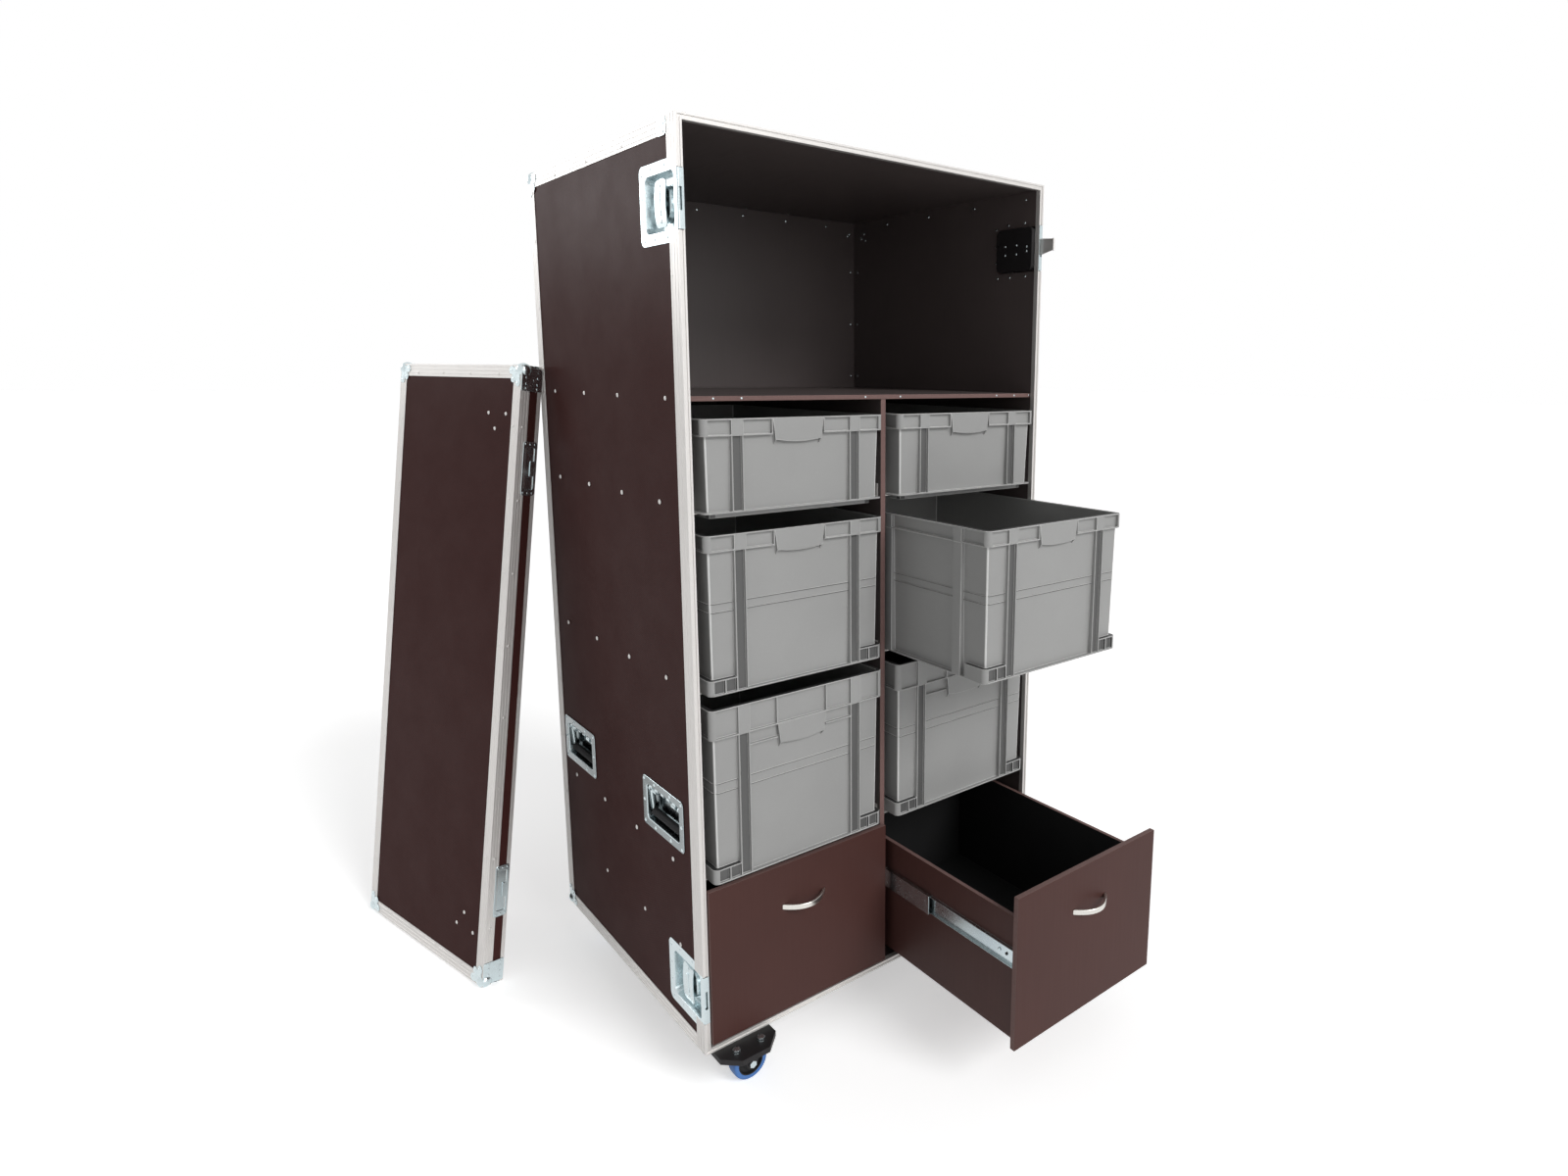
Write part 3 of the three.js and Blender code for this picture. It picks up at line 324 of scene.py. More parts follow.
class Finish(Nodes):
    """One material, its surface shader and the nodes that feed it."""

    def __init__(self, name, **surface):
        self.material = bpy.data.materials.new(name)
        self.material.use_nodes = True
        super().__init__(self.material.node_tree)
        self.shader = self.tree.nodes["Principled BSDF"]
        self.set(**surface)

    def set(self, **surface):
        """Feeds sockets of the surface shader."""
        for key, value in surface.items():
            self.feed(self.shader.inputs[key.replace("_", " ")], value)

    def surface_map(self, scale=(1, 1, 1)):
        """The piece's own flat coordinates in metres, scaled."""
        place = self.add("ShaderNodeUVMap", {"uv_map": "surface"})
        return self.add("ShaderNodeMapping", {}, Vector=place, Scale=scale)

    def solid_map(self, scale=(1, 1, 1)):
        """The piece's coordinates in space in metres, scaled."""
        place = self.add("ShaderNodeTexCoord", {}, output=3)
        return self.add("ShaderNodeMapping", {}, Vector=place, Scale=scale)

    def noise(self, place, scale, detail=3, roughness=0.5):
        """Soft noise, from zero to one."""
        return self.add("ShaderNodeTexNoise", {}, Vector=place, Scale=scale, Detail=detail,
                        Roughness=roughness)

    def ramp(self, value, *stops):
        """A value led through grey levels."""
        return self.add("ShaderNodeValToRGB", {"stops": stops}, Fac=value)

    def shade(self, amount, dark, light):
        """A colour between two others."""
        return self.add("ShaderNodeMix", {"data_type": "RGBA"}, amount, dark, light,
                        where=(0, 6, 7), output=2)

    def bump(self, height, strength, distance):
        """Relief on the surface, from a height."""
        normal = self.add("ShaderNodeBump", {}, Strength=strength, Distance=distance, Height=height)
        self.set(Normal=normal)


def tinted(colour, share):
    """A colour made darker, by a share below one, or lighter."""
    return tuple(min(1, level * share) for level in colour)


FILM_PITCH = 3.4 * MM
FINISHES = {}


def finish(name):
    """The material of that name, made when it is first asked for."""
    if name not in FINISHES:
        maker, label, colour, share, *values = RECIPES[name]
        base = tinted(getattr(colours(), colour), share)
        FINISHES[name] = maker(label, base, *values).material
    return FINISHES[name]


def film_finish(name, base):
    """Brown phenolic film with a pressed grip of small hexagons."""
    made = Finish(name, Coat_Roughness=0.34, Specular_IOR_Level=0.0)
    place = made.surface_map()
    across = made.add("ShaderNodeSeparateXYZ", {}, place)
    up = across.output(1)
    wave = math.tau / FILM_PITCH
    slant = math.sqrt(3) / 2
    hexagons = ((across * wave).cosine()
                + (across * (wave / 2) + up * (wave * slant)).cosine()
                + (across * (wave / 2) - up * (wave * slant)).cosine())
    mottle = made.noise(place, 9, 4, 0.6)
    rub = made.noise(place, 60, 3)
    grip = made.ramp(hexagons / 3, (0.0, 0.0), (0.35, 0.9), (1.0, 1.0))
    tone = made.shade(mottle, tinted(base, 0.78), tinted(base, 1.22))
    # The colour follows the hexagon grip: its hollows are painted darker, a painted shade, and the
    # rub noise darkens it at random.
    made.set(Base_Color=made.shade(grip * 0.55 + rub * 0.2, tinted(base, 0.7), tone))
    made.set(Roughness=0.36 + rub * 0.16 - grip * 0.05)
    made.set(Coat_Weight=0.1 + mottle * 0.1)
    made.bump(grip + rub * 0.1, 0.35, 0.4 * MM)
    return made


def board_finish(name, base, dullness, specular):
    """Smooth phenolic film with the faint grain of the veneer under it."""
    made = Finish(name, Specular_IOR_Level=specular)
    grain_place = made.surface_map((90, 2.2, 1))
    grain = made.noise(grain_place, 3, 5, 0.65)
    cloud = made.noise(made.surface_map(), 5, 3)
    pore = made.noise(made.surface_map((420, 14, 1)), 2.5, 2)
    tone = made.shade(cloud, tinted(base, 0.84), tinted(base, 1.16))
    made.set(Base_Color=made.shade(grain * 0.5, tone, tinted(base, 0.72)))
    made.set(Roughness=dullness + grain * 0.12 + cloud * 0.06)
    made.bump(grain * 0.5 + pore * 0.5, 0.16, 0.25 * MM)
    return made


def ply_edge_finish(name, base):
    """The cut edge of plywood, sealed with brown lacquer."""
    made = Finish(name, Specular_IOR_Level=0.35)
    fibre = made.noise(made.solid_map((6, 6, 260)), 4, 3)
    speck = made.noise(made.solid_map(), 240, 3)
    tone = made.shade(fibre, tinted(base, 0.75), tinted(base, 1.2))
    made.set(Base_Color=made.shade(speck * 0.4, tone, tinted(base, 0.6)))
    made.set(Roughness=0.62 + speck * 0.15)
    made.bump(fibre + speck * 0.4, 0.3, 0.3 * MM)
    return made


def metal_finish(name, base, low, high, streak, metal=1.0):
    """Bare or plated metal with fine drawing marks and small cloudy patches."""
    made = Finish(name, Metallic=metal)
    drawn = made.noise(made.surface_map(streak), 8, 4, 0.7)
    cloud = made.noise(made.solid_map(), 22, 3, 0.55)
    smear = made.noise(made.solid_map(), 130, 2)
    mark = drawn * 0.55 + cloud * 0.3 + smear * 0.15
    made.set(Base_Color=made.shade(mark, tinted(base, 0.82), tinted(base, 1.08)))
    made.set(Roughness=low + mark * (high - low))
    made.bump(drawn, 0.05, 0.1 * MM)
    return made


def moulded_finish(name, base):
    """Moulded grey plastic: a fine sparked texture with faint flow clouds."""
    made = Finish(name, Specular_IOR_Level=0.5)
    spark = made.noise(made.solid_map(), 900, 2)
    cloud = made.noise(made.solid_map(), 7, 3)
    scuff = made.ramp(made.noise(made.solid_map((30, 6, 30)), 5, 5, 0.7), (0.55, 0.0), (0.75, 1.0))
    tone = made.shade(cloud, tinted(base, 0.93), tinted(base, 1.07))
    made.set(Base_Color=made.shade(scuff * 0.16, tone, tinted(base, 1.35)))
    made.set(Roughness=0.4 + spark * 0.12 + scuff * 0.1)
    made.bump(spark, 0.12, 0.12 * MM)
    return made


def dark_finish(name, base, rough, speckle):
    """Black rubber, plastic or coated steel with a fine uneven surface."""
    made = Finish(name, Specular_IOR_Level=0.3)
    fine = made.noise(made.solid_map(), speckle, 3)
    cloud = made.noise(made.solid_map(), 18, 3)
    made.set(Base_Color=made.shade(cloud, tinted(base, 0.75), tinted(base, 1.35)))
    made.set(Roughness=rough + fine * 0.14)
    made.bump(fine, 0.2, 0.15 * MM)
    return made


def tread_finish(name, base):
    """Blue elastic tread, duller where it has rolled."""
    made = Finish(name, Specular_IOR_Level=0.4)
    dust = made.noise(made.solid_map(), 90, 4, 0.6)
    made.set(Base_Color=made.shade(dust, tinted(base, 0.8), tinted(base, 1.3)))
    made.set(Roughness=0.45 + dust * 0.2)
    made.bump(dust, 0.15, 0.2 * MM)
    return made


# Each finish: its maker, its material's name, its colour, how much lighter or darker, its values
RECIPES = {
    "film": (film_finish, "hexagon_film", "film", 1),
    "drawer": (board_finish, "drawer_film", "drawer", 1, 0.4, 0.18),
    "inside": (board_finish, "inside_film", "inside", 1, 0.3, 0.45),
    "ply_edge": (ply_edge_finish, "ply_edge", "ply_edge", 1),
    "aluminium": (metal_finish, "bare_aluminium", "aluminium", 1, 0.3, 0.52, (40, 40, 1), 0.5),
    "zinc": (metal_finish, "zinc_plate", "zinc", 1, 0.14, 0.36, (14, 14, 1)),
    # Handle zinc: the zinc painted darker, a painted dark reflection.
    "handle_zinc": (metal_finish, "handle_zinc", "handle_zinc", 1, 0.1, 0.26, (14, 14, 1)),
    "nickel": (metal_finish, "brushed_nickel", "nickel", 1, 0.2, 0.36, (3, 220, 1)),
    "bins": (moulded_finish, "bin_grey", "bins", 1),
    # The bin greys below are the bin grey painted lighter or darker: a painted highlight on its
    # rounded edges, painted shade inside it and in its recesses.
    "bin_edges": (moulded_finish, "bin_edge_grey", "bins", 2.1),
    "bin_inside": (moulded_finish, "bin_inside_grey", "bins", 0.1),
    "bin_recess": (moulded_finish, "bin_recess_grey", "bins", 0.3),
    "lining": (dark_finish, "drawer_lining", "lining", 1, 0.7, 400),
    "rubber": (dark_finish, "black_rubber", "rubber", 1, 0.55, 700),
    "black_steel": (dark_finish, "black_steel", "black_steel", 1, 0.46, 500),
    "tread": (tread_finish, "blue_tread", "tread", 1),
}


# Pieces and their meshes

SMOOTH_ANGLE = math.radians(35)
SHARP_ANGLE = math.radians(50)


def lay_surface_map(bm):
    """Flat coordinates in metres on each face, along its own main plane."""
    layer = bm.loops.layers.uv.new("surface")
    for face in bm.faces:
        facing = [abs(part) for part in face.normal]
        main = facing.index(max(facing))
        across, up = ((1, 2), (0, 2), (0, 1))[main]
        for corner in face.loops:
            corner[layer].uv = (corner.vert.co[across], corner.vert.co[up])


def piece(name, bm, materials, body, place=None, replaced=()):
    """Makes a finished object of a mesh: mapped, put in place, shaded and riding on its body."""
    lay_surface_map(bm)
    if place is not None:
        bmesh.ops.transform(bm, matrix=place, verts=bm.verts)
        if place.determinant() < 0:
            bmesh.ops.reverse_faces(bm, faces=bm.faces)
    mesh = bpy.data.meshes.new(name)
    bm.to_mesh(mesh)
    bm.free()
    mesh.shade_smooth()
    mesh.set_sharp_from_angle(angle=SMOOTH_ANGLE)
    obj = bpy.data.objects.new(name, mesh)
    bpy.context.scene.collection.objects.link(obj)
    names = [materials] if isinstance(materials, str) else materials
    for material in names:
        mesh.materials.append(finish(material))
    normals = obj.modifiers.new("even_normals", "WEIGHTED_NORMAL")
    normals.keep_sharp = True
    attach(obj, body)
    if replaced:
        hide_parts(*replaced)
    return obj


def edges_of(verts):
    """The edges that meet at some corners, each once and in the same order on every run."""
    return list(dict.fromkeys(edge for vert in verts for edge in vert.link_edges))


def bevel_edges(bm, edges, offset, segments=2, clamp=True):
    """Rounds edges, and gives back what that makes."""
    return bmesh.ops.bevel(bm, geom=edges, offset=offset, offset_type="OFFSET",
                           segments=segments, profile=0.5, affect="EDGES", clamp_overlap=clamp,
                           material=-1)


def sharp_edges(bm):
    """Edges at which two faces turn by more than the sharp angle."""
    return [edge for edge in bm.edges
            if len(edge.link_faces) == 2 and edge.calc_face_angle(0) > SHARP_ANGLE]


def merged_copy(node):
    """A CAD solid with its flat faces whole again."""
    bm = bmesh.new()
    bm.from_mesh(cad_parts[node].data)
    bmesh.ops.remove_doubles(bm, verts=bm.verts, dist=0.02 * MM)
    bmesh.ops.dissolve_limit(bm, angle_limit=math.radians(0.5), verts=bm.verts, edges=bm.edges)
    return bm


def dressed(node, materials, body, choose=None, edge=None, place=None):
    """Stands for a CAD solid: the same shape with rounded edges and its real finishes."""
    bm = merged_copy(node)
    if place is not None:
        bmesh.ops.transform(bm, matrix=place.inverted(), verts=bm.verts)
    if choose:
        for face in bm.faces:
            face.material_index = choose(face.calc_center_median(), face.normal)
    soften(bm, sizes().soft_edge if edge is None else edge)
    return piece(node + "_finished", bm, materials, body, place=place, replaced=[node])


def soften(bm, offset):
    """Rounds every sharp edge of a mesh."""
    if offset > 0:
        bevel_edges(bm, sharp_edges(bm), offset)


def add_box(bm, low, high, edge=0.0, segments=2):
    """A box between two corners, its edges rounded."""
    verts = bmesh.ops.create_cube(bm, size=1)["verts"]
    size = [b - a for a, b in zip(low, high)]
    middle = [(a + b) / 2 for a, b in zip(low, high)]
    bmesh.ops.scale(bm, vec=size, verts=verts)
    bmesh.ops.translate(bm, vec=middle, verts=verts)
    if edge > 0:
        bevel_edges(bm, edges_of(verts), edge, segments)


def along(axis, place):
    """A frame at a place whose own z points along an axis."""
    return Matrix.Translation(place) @ Vector(axis).to_track_quat("Z", "Y").to_matrix().to_4x4()


def add_turned(bm, profile, place, steps=24):
    """A solid of revolution. Its profile is radius and height, closed or from axis to axis."""
    verts = [bm.verts.new(place @ Vector((radius, 0, rise))) for radius, rise in profile]
    edges = [bm.edges.new(pair) for pair in zip(verts, verts[1:])]
    bmesh.ops.spin(bm, geom=verts + edges, cent=place.translation, axis=place.col[2].to_3d(),
                   angle=math.tau, steps=steps, use_merge=True)


def add_tube(bm, points, radius, steps=10):
    """A round bar along a few points, with round joints."""
    rings = []
    for index, point in enumerate(points):
        before = points[max(index - 1, 0)]
        after = points[min(index + 1, len(points) - 1)]
        place = along(after - before, point)
        made = bmesh.ops.create_circle(bm, segments=steps, radius=radius, matrix=place)
        rings.append(edges_of(made["verts"]))
    for first, second in zip(rings, rings[1:]):
        bmesh.ops.bridge_loops(bm, edges=first + second)
    for end in (rings[0], rings[-1]):
        bmesh.ops.edgeloop_fill(bm, edges=end)


def ring(bm, centre, size, radius, level):
    """The edges of a rounded rectangle in the plane of u and v, at a level of w."""
    steps = 4 * sizes().corner_steps
    turn = math.pi / steps
    made = bmesh.ops.create_circle(bm, segments=steps, radius=radius / math.cos(turn),
                                   matrix=Matrix.Rotation(turn, 4, "Z"))
    for vert in made["verts"]:
        vert.co.x += math.copysign(size[0] / 2 - radius, vert.co.x) + centre[0]
        vert.co.y += math.copysign(size[1] / 2 - radius, vert.co.y) + centre[1]
        vert.co.z = level
    return edges_of(made["verts"])


def loft(bm, rings, first=False, last=True):
    """A skin through rounded rectangles, each with its centre, size, corner and level."""
    loops = [ring(bm, *values) for values in rings]
    for near, far in zip(loops, loops[1:]):
        bmesh.ops.bridge_loops(bm, edges=near + far)
    if first:
        bmesh.ops.edgeloop_fill(bm, edges=loops[0])
    if last:
        bmesh.ops.edgeloop_fill(bm, edges=loops[-1])


def plate_rings(centre, size, radius, low, high, edge):
    """The rings of a flat plate with rounded corners and a softened rim."""
    inner = (size[0] - 2 * edge, size[1] - 2 * edge)
    return [
        (centre, inner, radius - edge, low), (centre, size, radius, low + edge),
        (centre, size, radius, high - edge), (centre, inner, radius - edge, high),
    ]


def add_plate(bm, centre, size, radius, low, high, edge=0.3 * MM):
    """A flat plate with rounded corners, between two levels of w."""
    loft(bm, plate_rings(centre, size, radius, low, high, edge), first=True)


def shut(bm):
    """Merges doubles and turns all faces outwards."""
    bmesh.ops.remove_doubles(bm, verts=bm.verts, dist=0.005 * MM)
    bmesh.ops.recalc_face_normals(bm, faces=bm.faces)


# Radius and rise of two kinds of rivet
SMALL_RIVET = (3.2 * MM, 1.2 * MM)
LARGE_RIVET = (4.4 * MM, 1.6 * MM)


def add_rivet(bm, u, v, level=0.0, radius=None, rise=None, steps=8):
    """A domed rivet head on the face w = level, standing out towards minus w."""
    radius = sizes().rivet_radius if radius is None else radius
    rise = sizes().rivet_rise if rise is None else rise
    for low, high, share_low, share_high in ((0, 0.55, 1, 0.82), (0.55, 1, 0.82, 0.4)):
        height = (high - low) * rise
        middle = level - (low + high) / 2 * rise
        bmesh.ops.create_cone(
            bm, cap_ends=high == 1, segments=steps, radius1=radius * share_low,
            radius2=radius * share_high, depth=height,
            matrix=Matrix.Translation((u, v, middle)) @ Matrix.Rotation(math.pi, 4, "X"))


def rivet_piece(name, material, body, place, places, level=0.0, radius=None, rise=None, steps=8):
    """A piece of nothing but rivet or screw heads, at places of one face."""
    bm = bmesh.new()
    for u, v in places:
        add_rivet(bm, u, v, level, radius, rise, steps)
    piece(name, bm, material, body, place)


def in_mm(points):
    """Pairs of numbers that are written in millimetres."""
    return [(a * MM, b * MM) for a, b in points]


def spread(start, end, pitch):
    """Even places from start to end, about a pitch apart, both ends counted."""
    count = max(1, round((end - start) / pitch))
    return [start + (end - start) * index / count for index in range(count + 1)]


def carve(obj, boxes):
    """Cuts boxes out of a piece."""
    bm = bmesh.new()
    for low, high in boxes:
        add_box(bm, low, high)
    mesh = bpy.data.meshes.new("cutter")
    bm.to_mesh(mesh)
    bm.free()
    cutter = bpy.data.objects.new("cutter", mesh)
    bpy.context.scene.collection.objects.link(cutter)
    cut = obj.modifiers.new("cut", "BOOLEAN")
    cut.operation = "DIFFERENCE"
    cut.solver = "EXACT"
    cut.use_self = True
    cut.object = cutter
    while obj.modifiers[0] != cut:
        obj.modifiers.move(len(obj.modifiers) - 1, 0)
    others = list(obj.modifiers)[1:]
    for other in others:
        other.show_viewport = False
    bpy.context.view_layer.update()
    evaluated = obj.evaluated_get(bpy.context.evaluated_depsgraph_get())
    made = bpy.data.meshes.new_from_object(evaluated)
    obj.modifiers.remove(cut)
    for other in others:
        other.show_viewport = True
    old = obj.data
    made.name = old.name
    obj.data = made
    bpy.data.meshes.remove(old)
    bpy.data.objects.remove(cutter)
    bpy.data.meshes.remove(mesh)


# Edging profiles

def grooved(length, start, places):
    """Points of a straight outer face from start to length, with a groove at each place."""
    half = sizes().groove_width / 2
    depth = sizes().groove_depth
    points = [(start, 0.0)]
    for place in places:
        points += [(place - half, 0.0), (place - half / 2, depth), (place + half / 2, depth),
                   (place + half, 0.0)]
    return points + [(length, 0.0)]


LEG_GROOVES = (0.2, 0.5, 0.8)


def angle_profile(leg_a, leg_b, sheet):
    """An angle with grooves along both legs. Its outer corner is at zero."""
    side_a = grooved(leg_a, 0.0, [share * leg_a for share in LEG_GROOVES])
    side_b = grooved(leg_b, 0.0, [share * leg_b for share in LEG_GROOVES])
    outer_b = [(b, a) for a, b in side_b[1:]]
    return [(leg_a, sheet), *reversed(side_a), *outer_b, (sheet, leg_b), (sheet, sheet)]


def closure_profile(leg, lip):
    """The closure: a grooved outer leg, a front web with a seal groove, and a lip."""
    far = INNER + FIT + 1.2 * MM
    middle = INNER / 2 + SHEET / 2
    near, wide = middle - 2.2 * MM, middle + 2.2 * MM
    deep = 1.8 * MM
    outer = [(b, a) for a, b in reversed(grooved(leg, 0.0, [share * leg for share in LEG_GROOVES]))]
    front = [(near, 0.0), (near, deep), (wide, deep), (wide, 0.0), (far, 0.0)]
    back = [(far, lip), (far - 1.2 * MM, lip), (far - 1.2 * MM, 3 * MM), (SHEET - FIT, 3 * MM),
            (SHEET - FIT, leg)]
    return [*outer, *front, *back]


def add_mitred(bm, profile, low, size, depth, forward):
    """A profile led round a rectangle. Its points are inset and depth from the face."""
    verts = [bm.verts.new((low[0] + inset, low[1] + inset, depth + forward * back))
             for inset, back in profile]
    edges = [bm.edges.new((a, b)) for a, b in zip(verts, verts[1:] + verts[:1])]
    centre = Vector((low[0] + size[0] / 2, low[1] + size[1] / 2, 0))
    space = Matrix.Translation(-centre)
    for axis in (1, 0, 1, 0):
        made = bmesh.ops.extrude_edge_only(bm, edges=edges)["geom"]
        moved = [item for item in made if isinstance(item, bmesh.types.BMVert)]
        known = set(moved)
        edges = [item for item in made if isinstance(item, bmesh.types.BMEdge)
                 and set(item.verts) <= known]
        flip = [1, 1, 1]
        flip[axis] = -1
        bmesh.ops.scale(bm, vec=flip, space=space, verts=moved)


def thicken(bm, faces, way):
    """Draws flat faces out into a solid."""
    made = bmesh.ops.extrude_face_region(bm, geom=faces)["geom"]
    moved = [item for item in made if isinstance(item, bmesh.types.BMVert)]
    bmesh.ops.translate(bm, vec=way, verts=moved)


def add_run(bm, profile, place, length):
    """A straight length of a profile along its own z."""
    face = bm.faces.new([bm.verts.new(place @ Vector((a, b, 0))) for a, b in profile])
    thicken(bm, [face], place.to_3x3() @ Vector((0, 0, length)))


# Operators that make the pieces

def make_panels():
    """Boards of the carcass with their outer film, inner film and cut edges."""
    inner_left = spot(INNER, 0, 0).x
    inner_right = spot(WIDTH - INNER, 0, 0).x
    slack = 0.1 * MM

    def side(outward, wall):
        def choose(centre, normal):
            if (wall - centre.x) * outward > slack:
                return 3
            if abs(normal.x) < 0.5:
                return 2
            return 0 if normal.x * outward > 0 else 1
        return choose

    dressed("left_side_panel", ["film", "inside", "ply_edge", "zinc"], "case",
            side(-1, inner_left))
    dressed("right_side_panel", ["film", "inside", "ply_edge", "zinc"], "case",
            side(1, inner_right))

    def outer_and_inner(axis):
        def choose(centre, normal):
            return 0 if normal[axis] > 0.5 else 1 if normal[axis] < -0.5 else 2
        return choose

    dressed("top_panel", ["film", "inside", "ply_edge"], "case", outer_and_inner(2))
    dressed("back_panel", ["film", "inside", "ply_edge"], "case", outer_and_inner(1))
    dressed("compartment_shelf", ["inside", "ply_edge"], "case",
            lambda centre, normal: int(normal.y < -0.5))
    divider_low, divider_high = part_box("centre_divider")
    half = 6 * MM
    middle = (divider_low.x + divider_high.x) / 2

    def divider(centre, normal):
        if abs(centre.x - middle) > half + slack:
            return 2
        return int(normal.y < -0.5)

    dressed("centre_divider", ["inside", "ply_edge", "zinc"], "case", divider)
    board_under = UNDER - 12 * MM

    def bottom(centre, normal):
        if centre.y < FRONT - 1 * MM and centre.z > UNDER + slack:
            return 1
        if centre.z > UNDER + SHEET / 2:
            return 2 if centre.z > UNDER + INNER - SHEET and normal.z > 0.5 else 3
        return 1 if centre.z < board_under - slack else 0

    dressed("bottom_panel_with_caster_boards", ["black_steel", "zinc", "inside", "film"],
            "case", bottom)


LATCH_HEIGHT = 136 * MM
LATCH_LENGTH = 147 * MM
LATCH_WELL = 98 * MM
LATCH_LIP = 11 * MM
LATCH_WELL_END = 19 * MM
LATCH_DEPTH = 21 * MM
LATCH_FACE = 0.3 * MM
LATCH_RIVETS = ((138, 52), (138, 14), (138, -24), (132, -59),
                (100, 59), (47, 59), (92, -59), (42, -59))
WING_LENGTH = 80 * MM
WING_WIDTH = 42 * MM
WING_FROM_FRONT = 72 * MM
LATCH_LEVELS = {
    level: (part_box(f"latch_dish_{level}_left")[0].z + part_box(f"latch_dish_{level}_left")[1].z) / 2
    - UNDER
    for level in LEVELS
}


def make_edging():
    """The closure frame, cut out round the latches, and the grooved edging."""
    bm = bmesh.new()
    add_mitred(bm, closure_profile(FRONT_LEG, 12 * MM), (0, 0), (WIDTH, HEIGHT), 0, 1)
    shut(bm)
    soften(bm, 0.25 * MM)
    closure = piece("closure_profile", bm, "aluminium", "case", FACES["front"],
                    ["front_closure_frame"])
    boxes = []
    half = LATCH_WELL / 2 + 1.2 * MM
    for level in LATCH_LEVELS.values():
        for low, high in ((-SHEET, INNER), (WIDTH - INNER, WIDTH + SHEET)):
            boxes.append((spot(low, -SHEET, level - half), spot(high, 2 * FRONT_LEG, level + half)))
    carve(closure, boxes)

    bm = bmesh.new()
    sheet = SHEET - FIT
    profile = angle_profile(EDGE_LEG, EDGE_LEG, sheet)
    add_mitred(bm, profile, (0, 0), (WIDTH, HEIGHT), 0, 1)
    shut(bm)
    soften(bm, 0.2 * MM)
    piece("back_profile", bm, "aluminium", "case", FACES["back"], ["rear_edging"])
    start = FRONT_LEG + FIT
    length = DEPTH - EDGE_LEG - start
    for side, x, right in ACROSS:
        for level, z, up in UPRIGHT:
            bm = bmesh.new()
            place = axes(spot(x, start, z), X * right, Z * up, Y)
            add_run(bm, profile, place, length)
            shut(bm)
            soften(bm, 0.2 * MM)
            piece(f"side_edging_{side}_{level}", bm, "aluminium", "case")


def add_ball_corner(bm):
    """A ball corner in its own frame: the corner is at zero and the case fills plus u, v, w.
    The ball is drawn out from a start inside it, and ends at a hidden depth in the boards."""
    radius, inset = 16.8 * MM, 11 * MM
    start, hidden = 4 * MM, 6 * MM
    offset = Vector((inset - start,) * 3)
    ball = bmesh.ops.create_uvsphere(bm, u_segments=36, v_segments=22, radius=1)["verts"]
    for vert in ball:
        way = vert.co.normalized()
        ahead = way.dot(offset)
        reach = ahead + math.sqrt(ahead ** 2 - offset.length_squared + radius ** 2)
        if min(way) > 0:
            reach = min(reach, (hidden - start) / min(way))
        vert.co = Vector((start,) * 3) + way * reach
    cycle = Matrix(((0, 1, 0, 0), (0, 0, 1, 0), (1, 0, 0, 0), (0, 0, 0, 1)))
    for turn in (Matrix.Identity(4), cycle, cycle @ cycle):
        leaf = bmesh.new()
        add_leaf(leaf)
        bmesh.ops.transform(leaf, matrix=turn, verts=leaf.verts)
        part = bpy.data.meshes.new("leaf")
        leaf.to_mesh(part)
        leaf.free()
        bm.from_mesh(part)
        bpy.data.meshes.remove(part)


def add_leaf(bm):
    """One flange of a ball corner: a plate with three lobes, and a rivet in each lobe."""
    proud = 1.4 * MM
    lobes = (((20, 20), (30, 30), 9), ((38, 12), (20, 18), 8.5), ((12, 38), (18, 20), 8.5),
             ((31, 31), (17, 17), 8))
    for index, (centre, size, radius) in enumerate(lobes):
        top = -proud - 0.05 * index * MM
        add_plate(bm, *in_mm((centre, size)), radius * MM, top, 0.1 * MM, 0.5 * MM)
    for u, v in in_mm(((40, 12), (12, 40), (31, 31))):
        add_rivet(bm, u, v, -proud, *SMALL_RIVET)


def make_ball_corners():
    """Zinc ball corners with three riveted flanges, at the back of the case."""
    for side, x, right in ACROSS:
        for level, z, up in UPRIGHT:
            bm = bmesh.new()
            add_ball_corner(bm)
            place = axes(spot(x, DEPTH, z), X * right, -Y, Z * up)
            piece(f"ball_corner_{level}_{side}", bm, "zinc", "case", place)


def make_braces():
    """Small riveted plates that tie the closure frame to the edging at each front corner."""
    for side in SIDES:
        bm = bmesh.new()
        near = 16 * MM
        centre = (FRONT_LEG + 16 * MM, HEIGHT - near)
        add_plate(bm, centre, (32 * MM, 2 * near - 1 * MM), 7 * MM, -1.2 * MM, 0.3 * MM, 0.4 * MM)
        for u, v in ((42, 14), (59, 16), (43, 26)):
            add_rivet(bm, u * MM, HEIGHT - v * MM, -1.2 * MM, *SMALL_RIVET)
        piece(f"corner_brace_{side}", bm, "zinc", "case", FACES[side])


def rivet_columns():
    """Where the rivets stand across the width of the case."""
    return spread(142 * MM, WIDTH - 105 * MM, 128.5 * MM)


def rivet_levels():
    """Where the rivets stand up the height of the case."""
    return spread(155 * MM, HEIGHT - 143 * MM, sizes().rivet_pitch)


def rivet_depths(start=216 * MM):
    """Where the rivets stand from the front of the case to its back."""
    return spread(start, 556 * MM, 170 * MM)


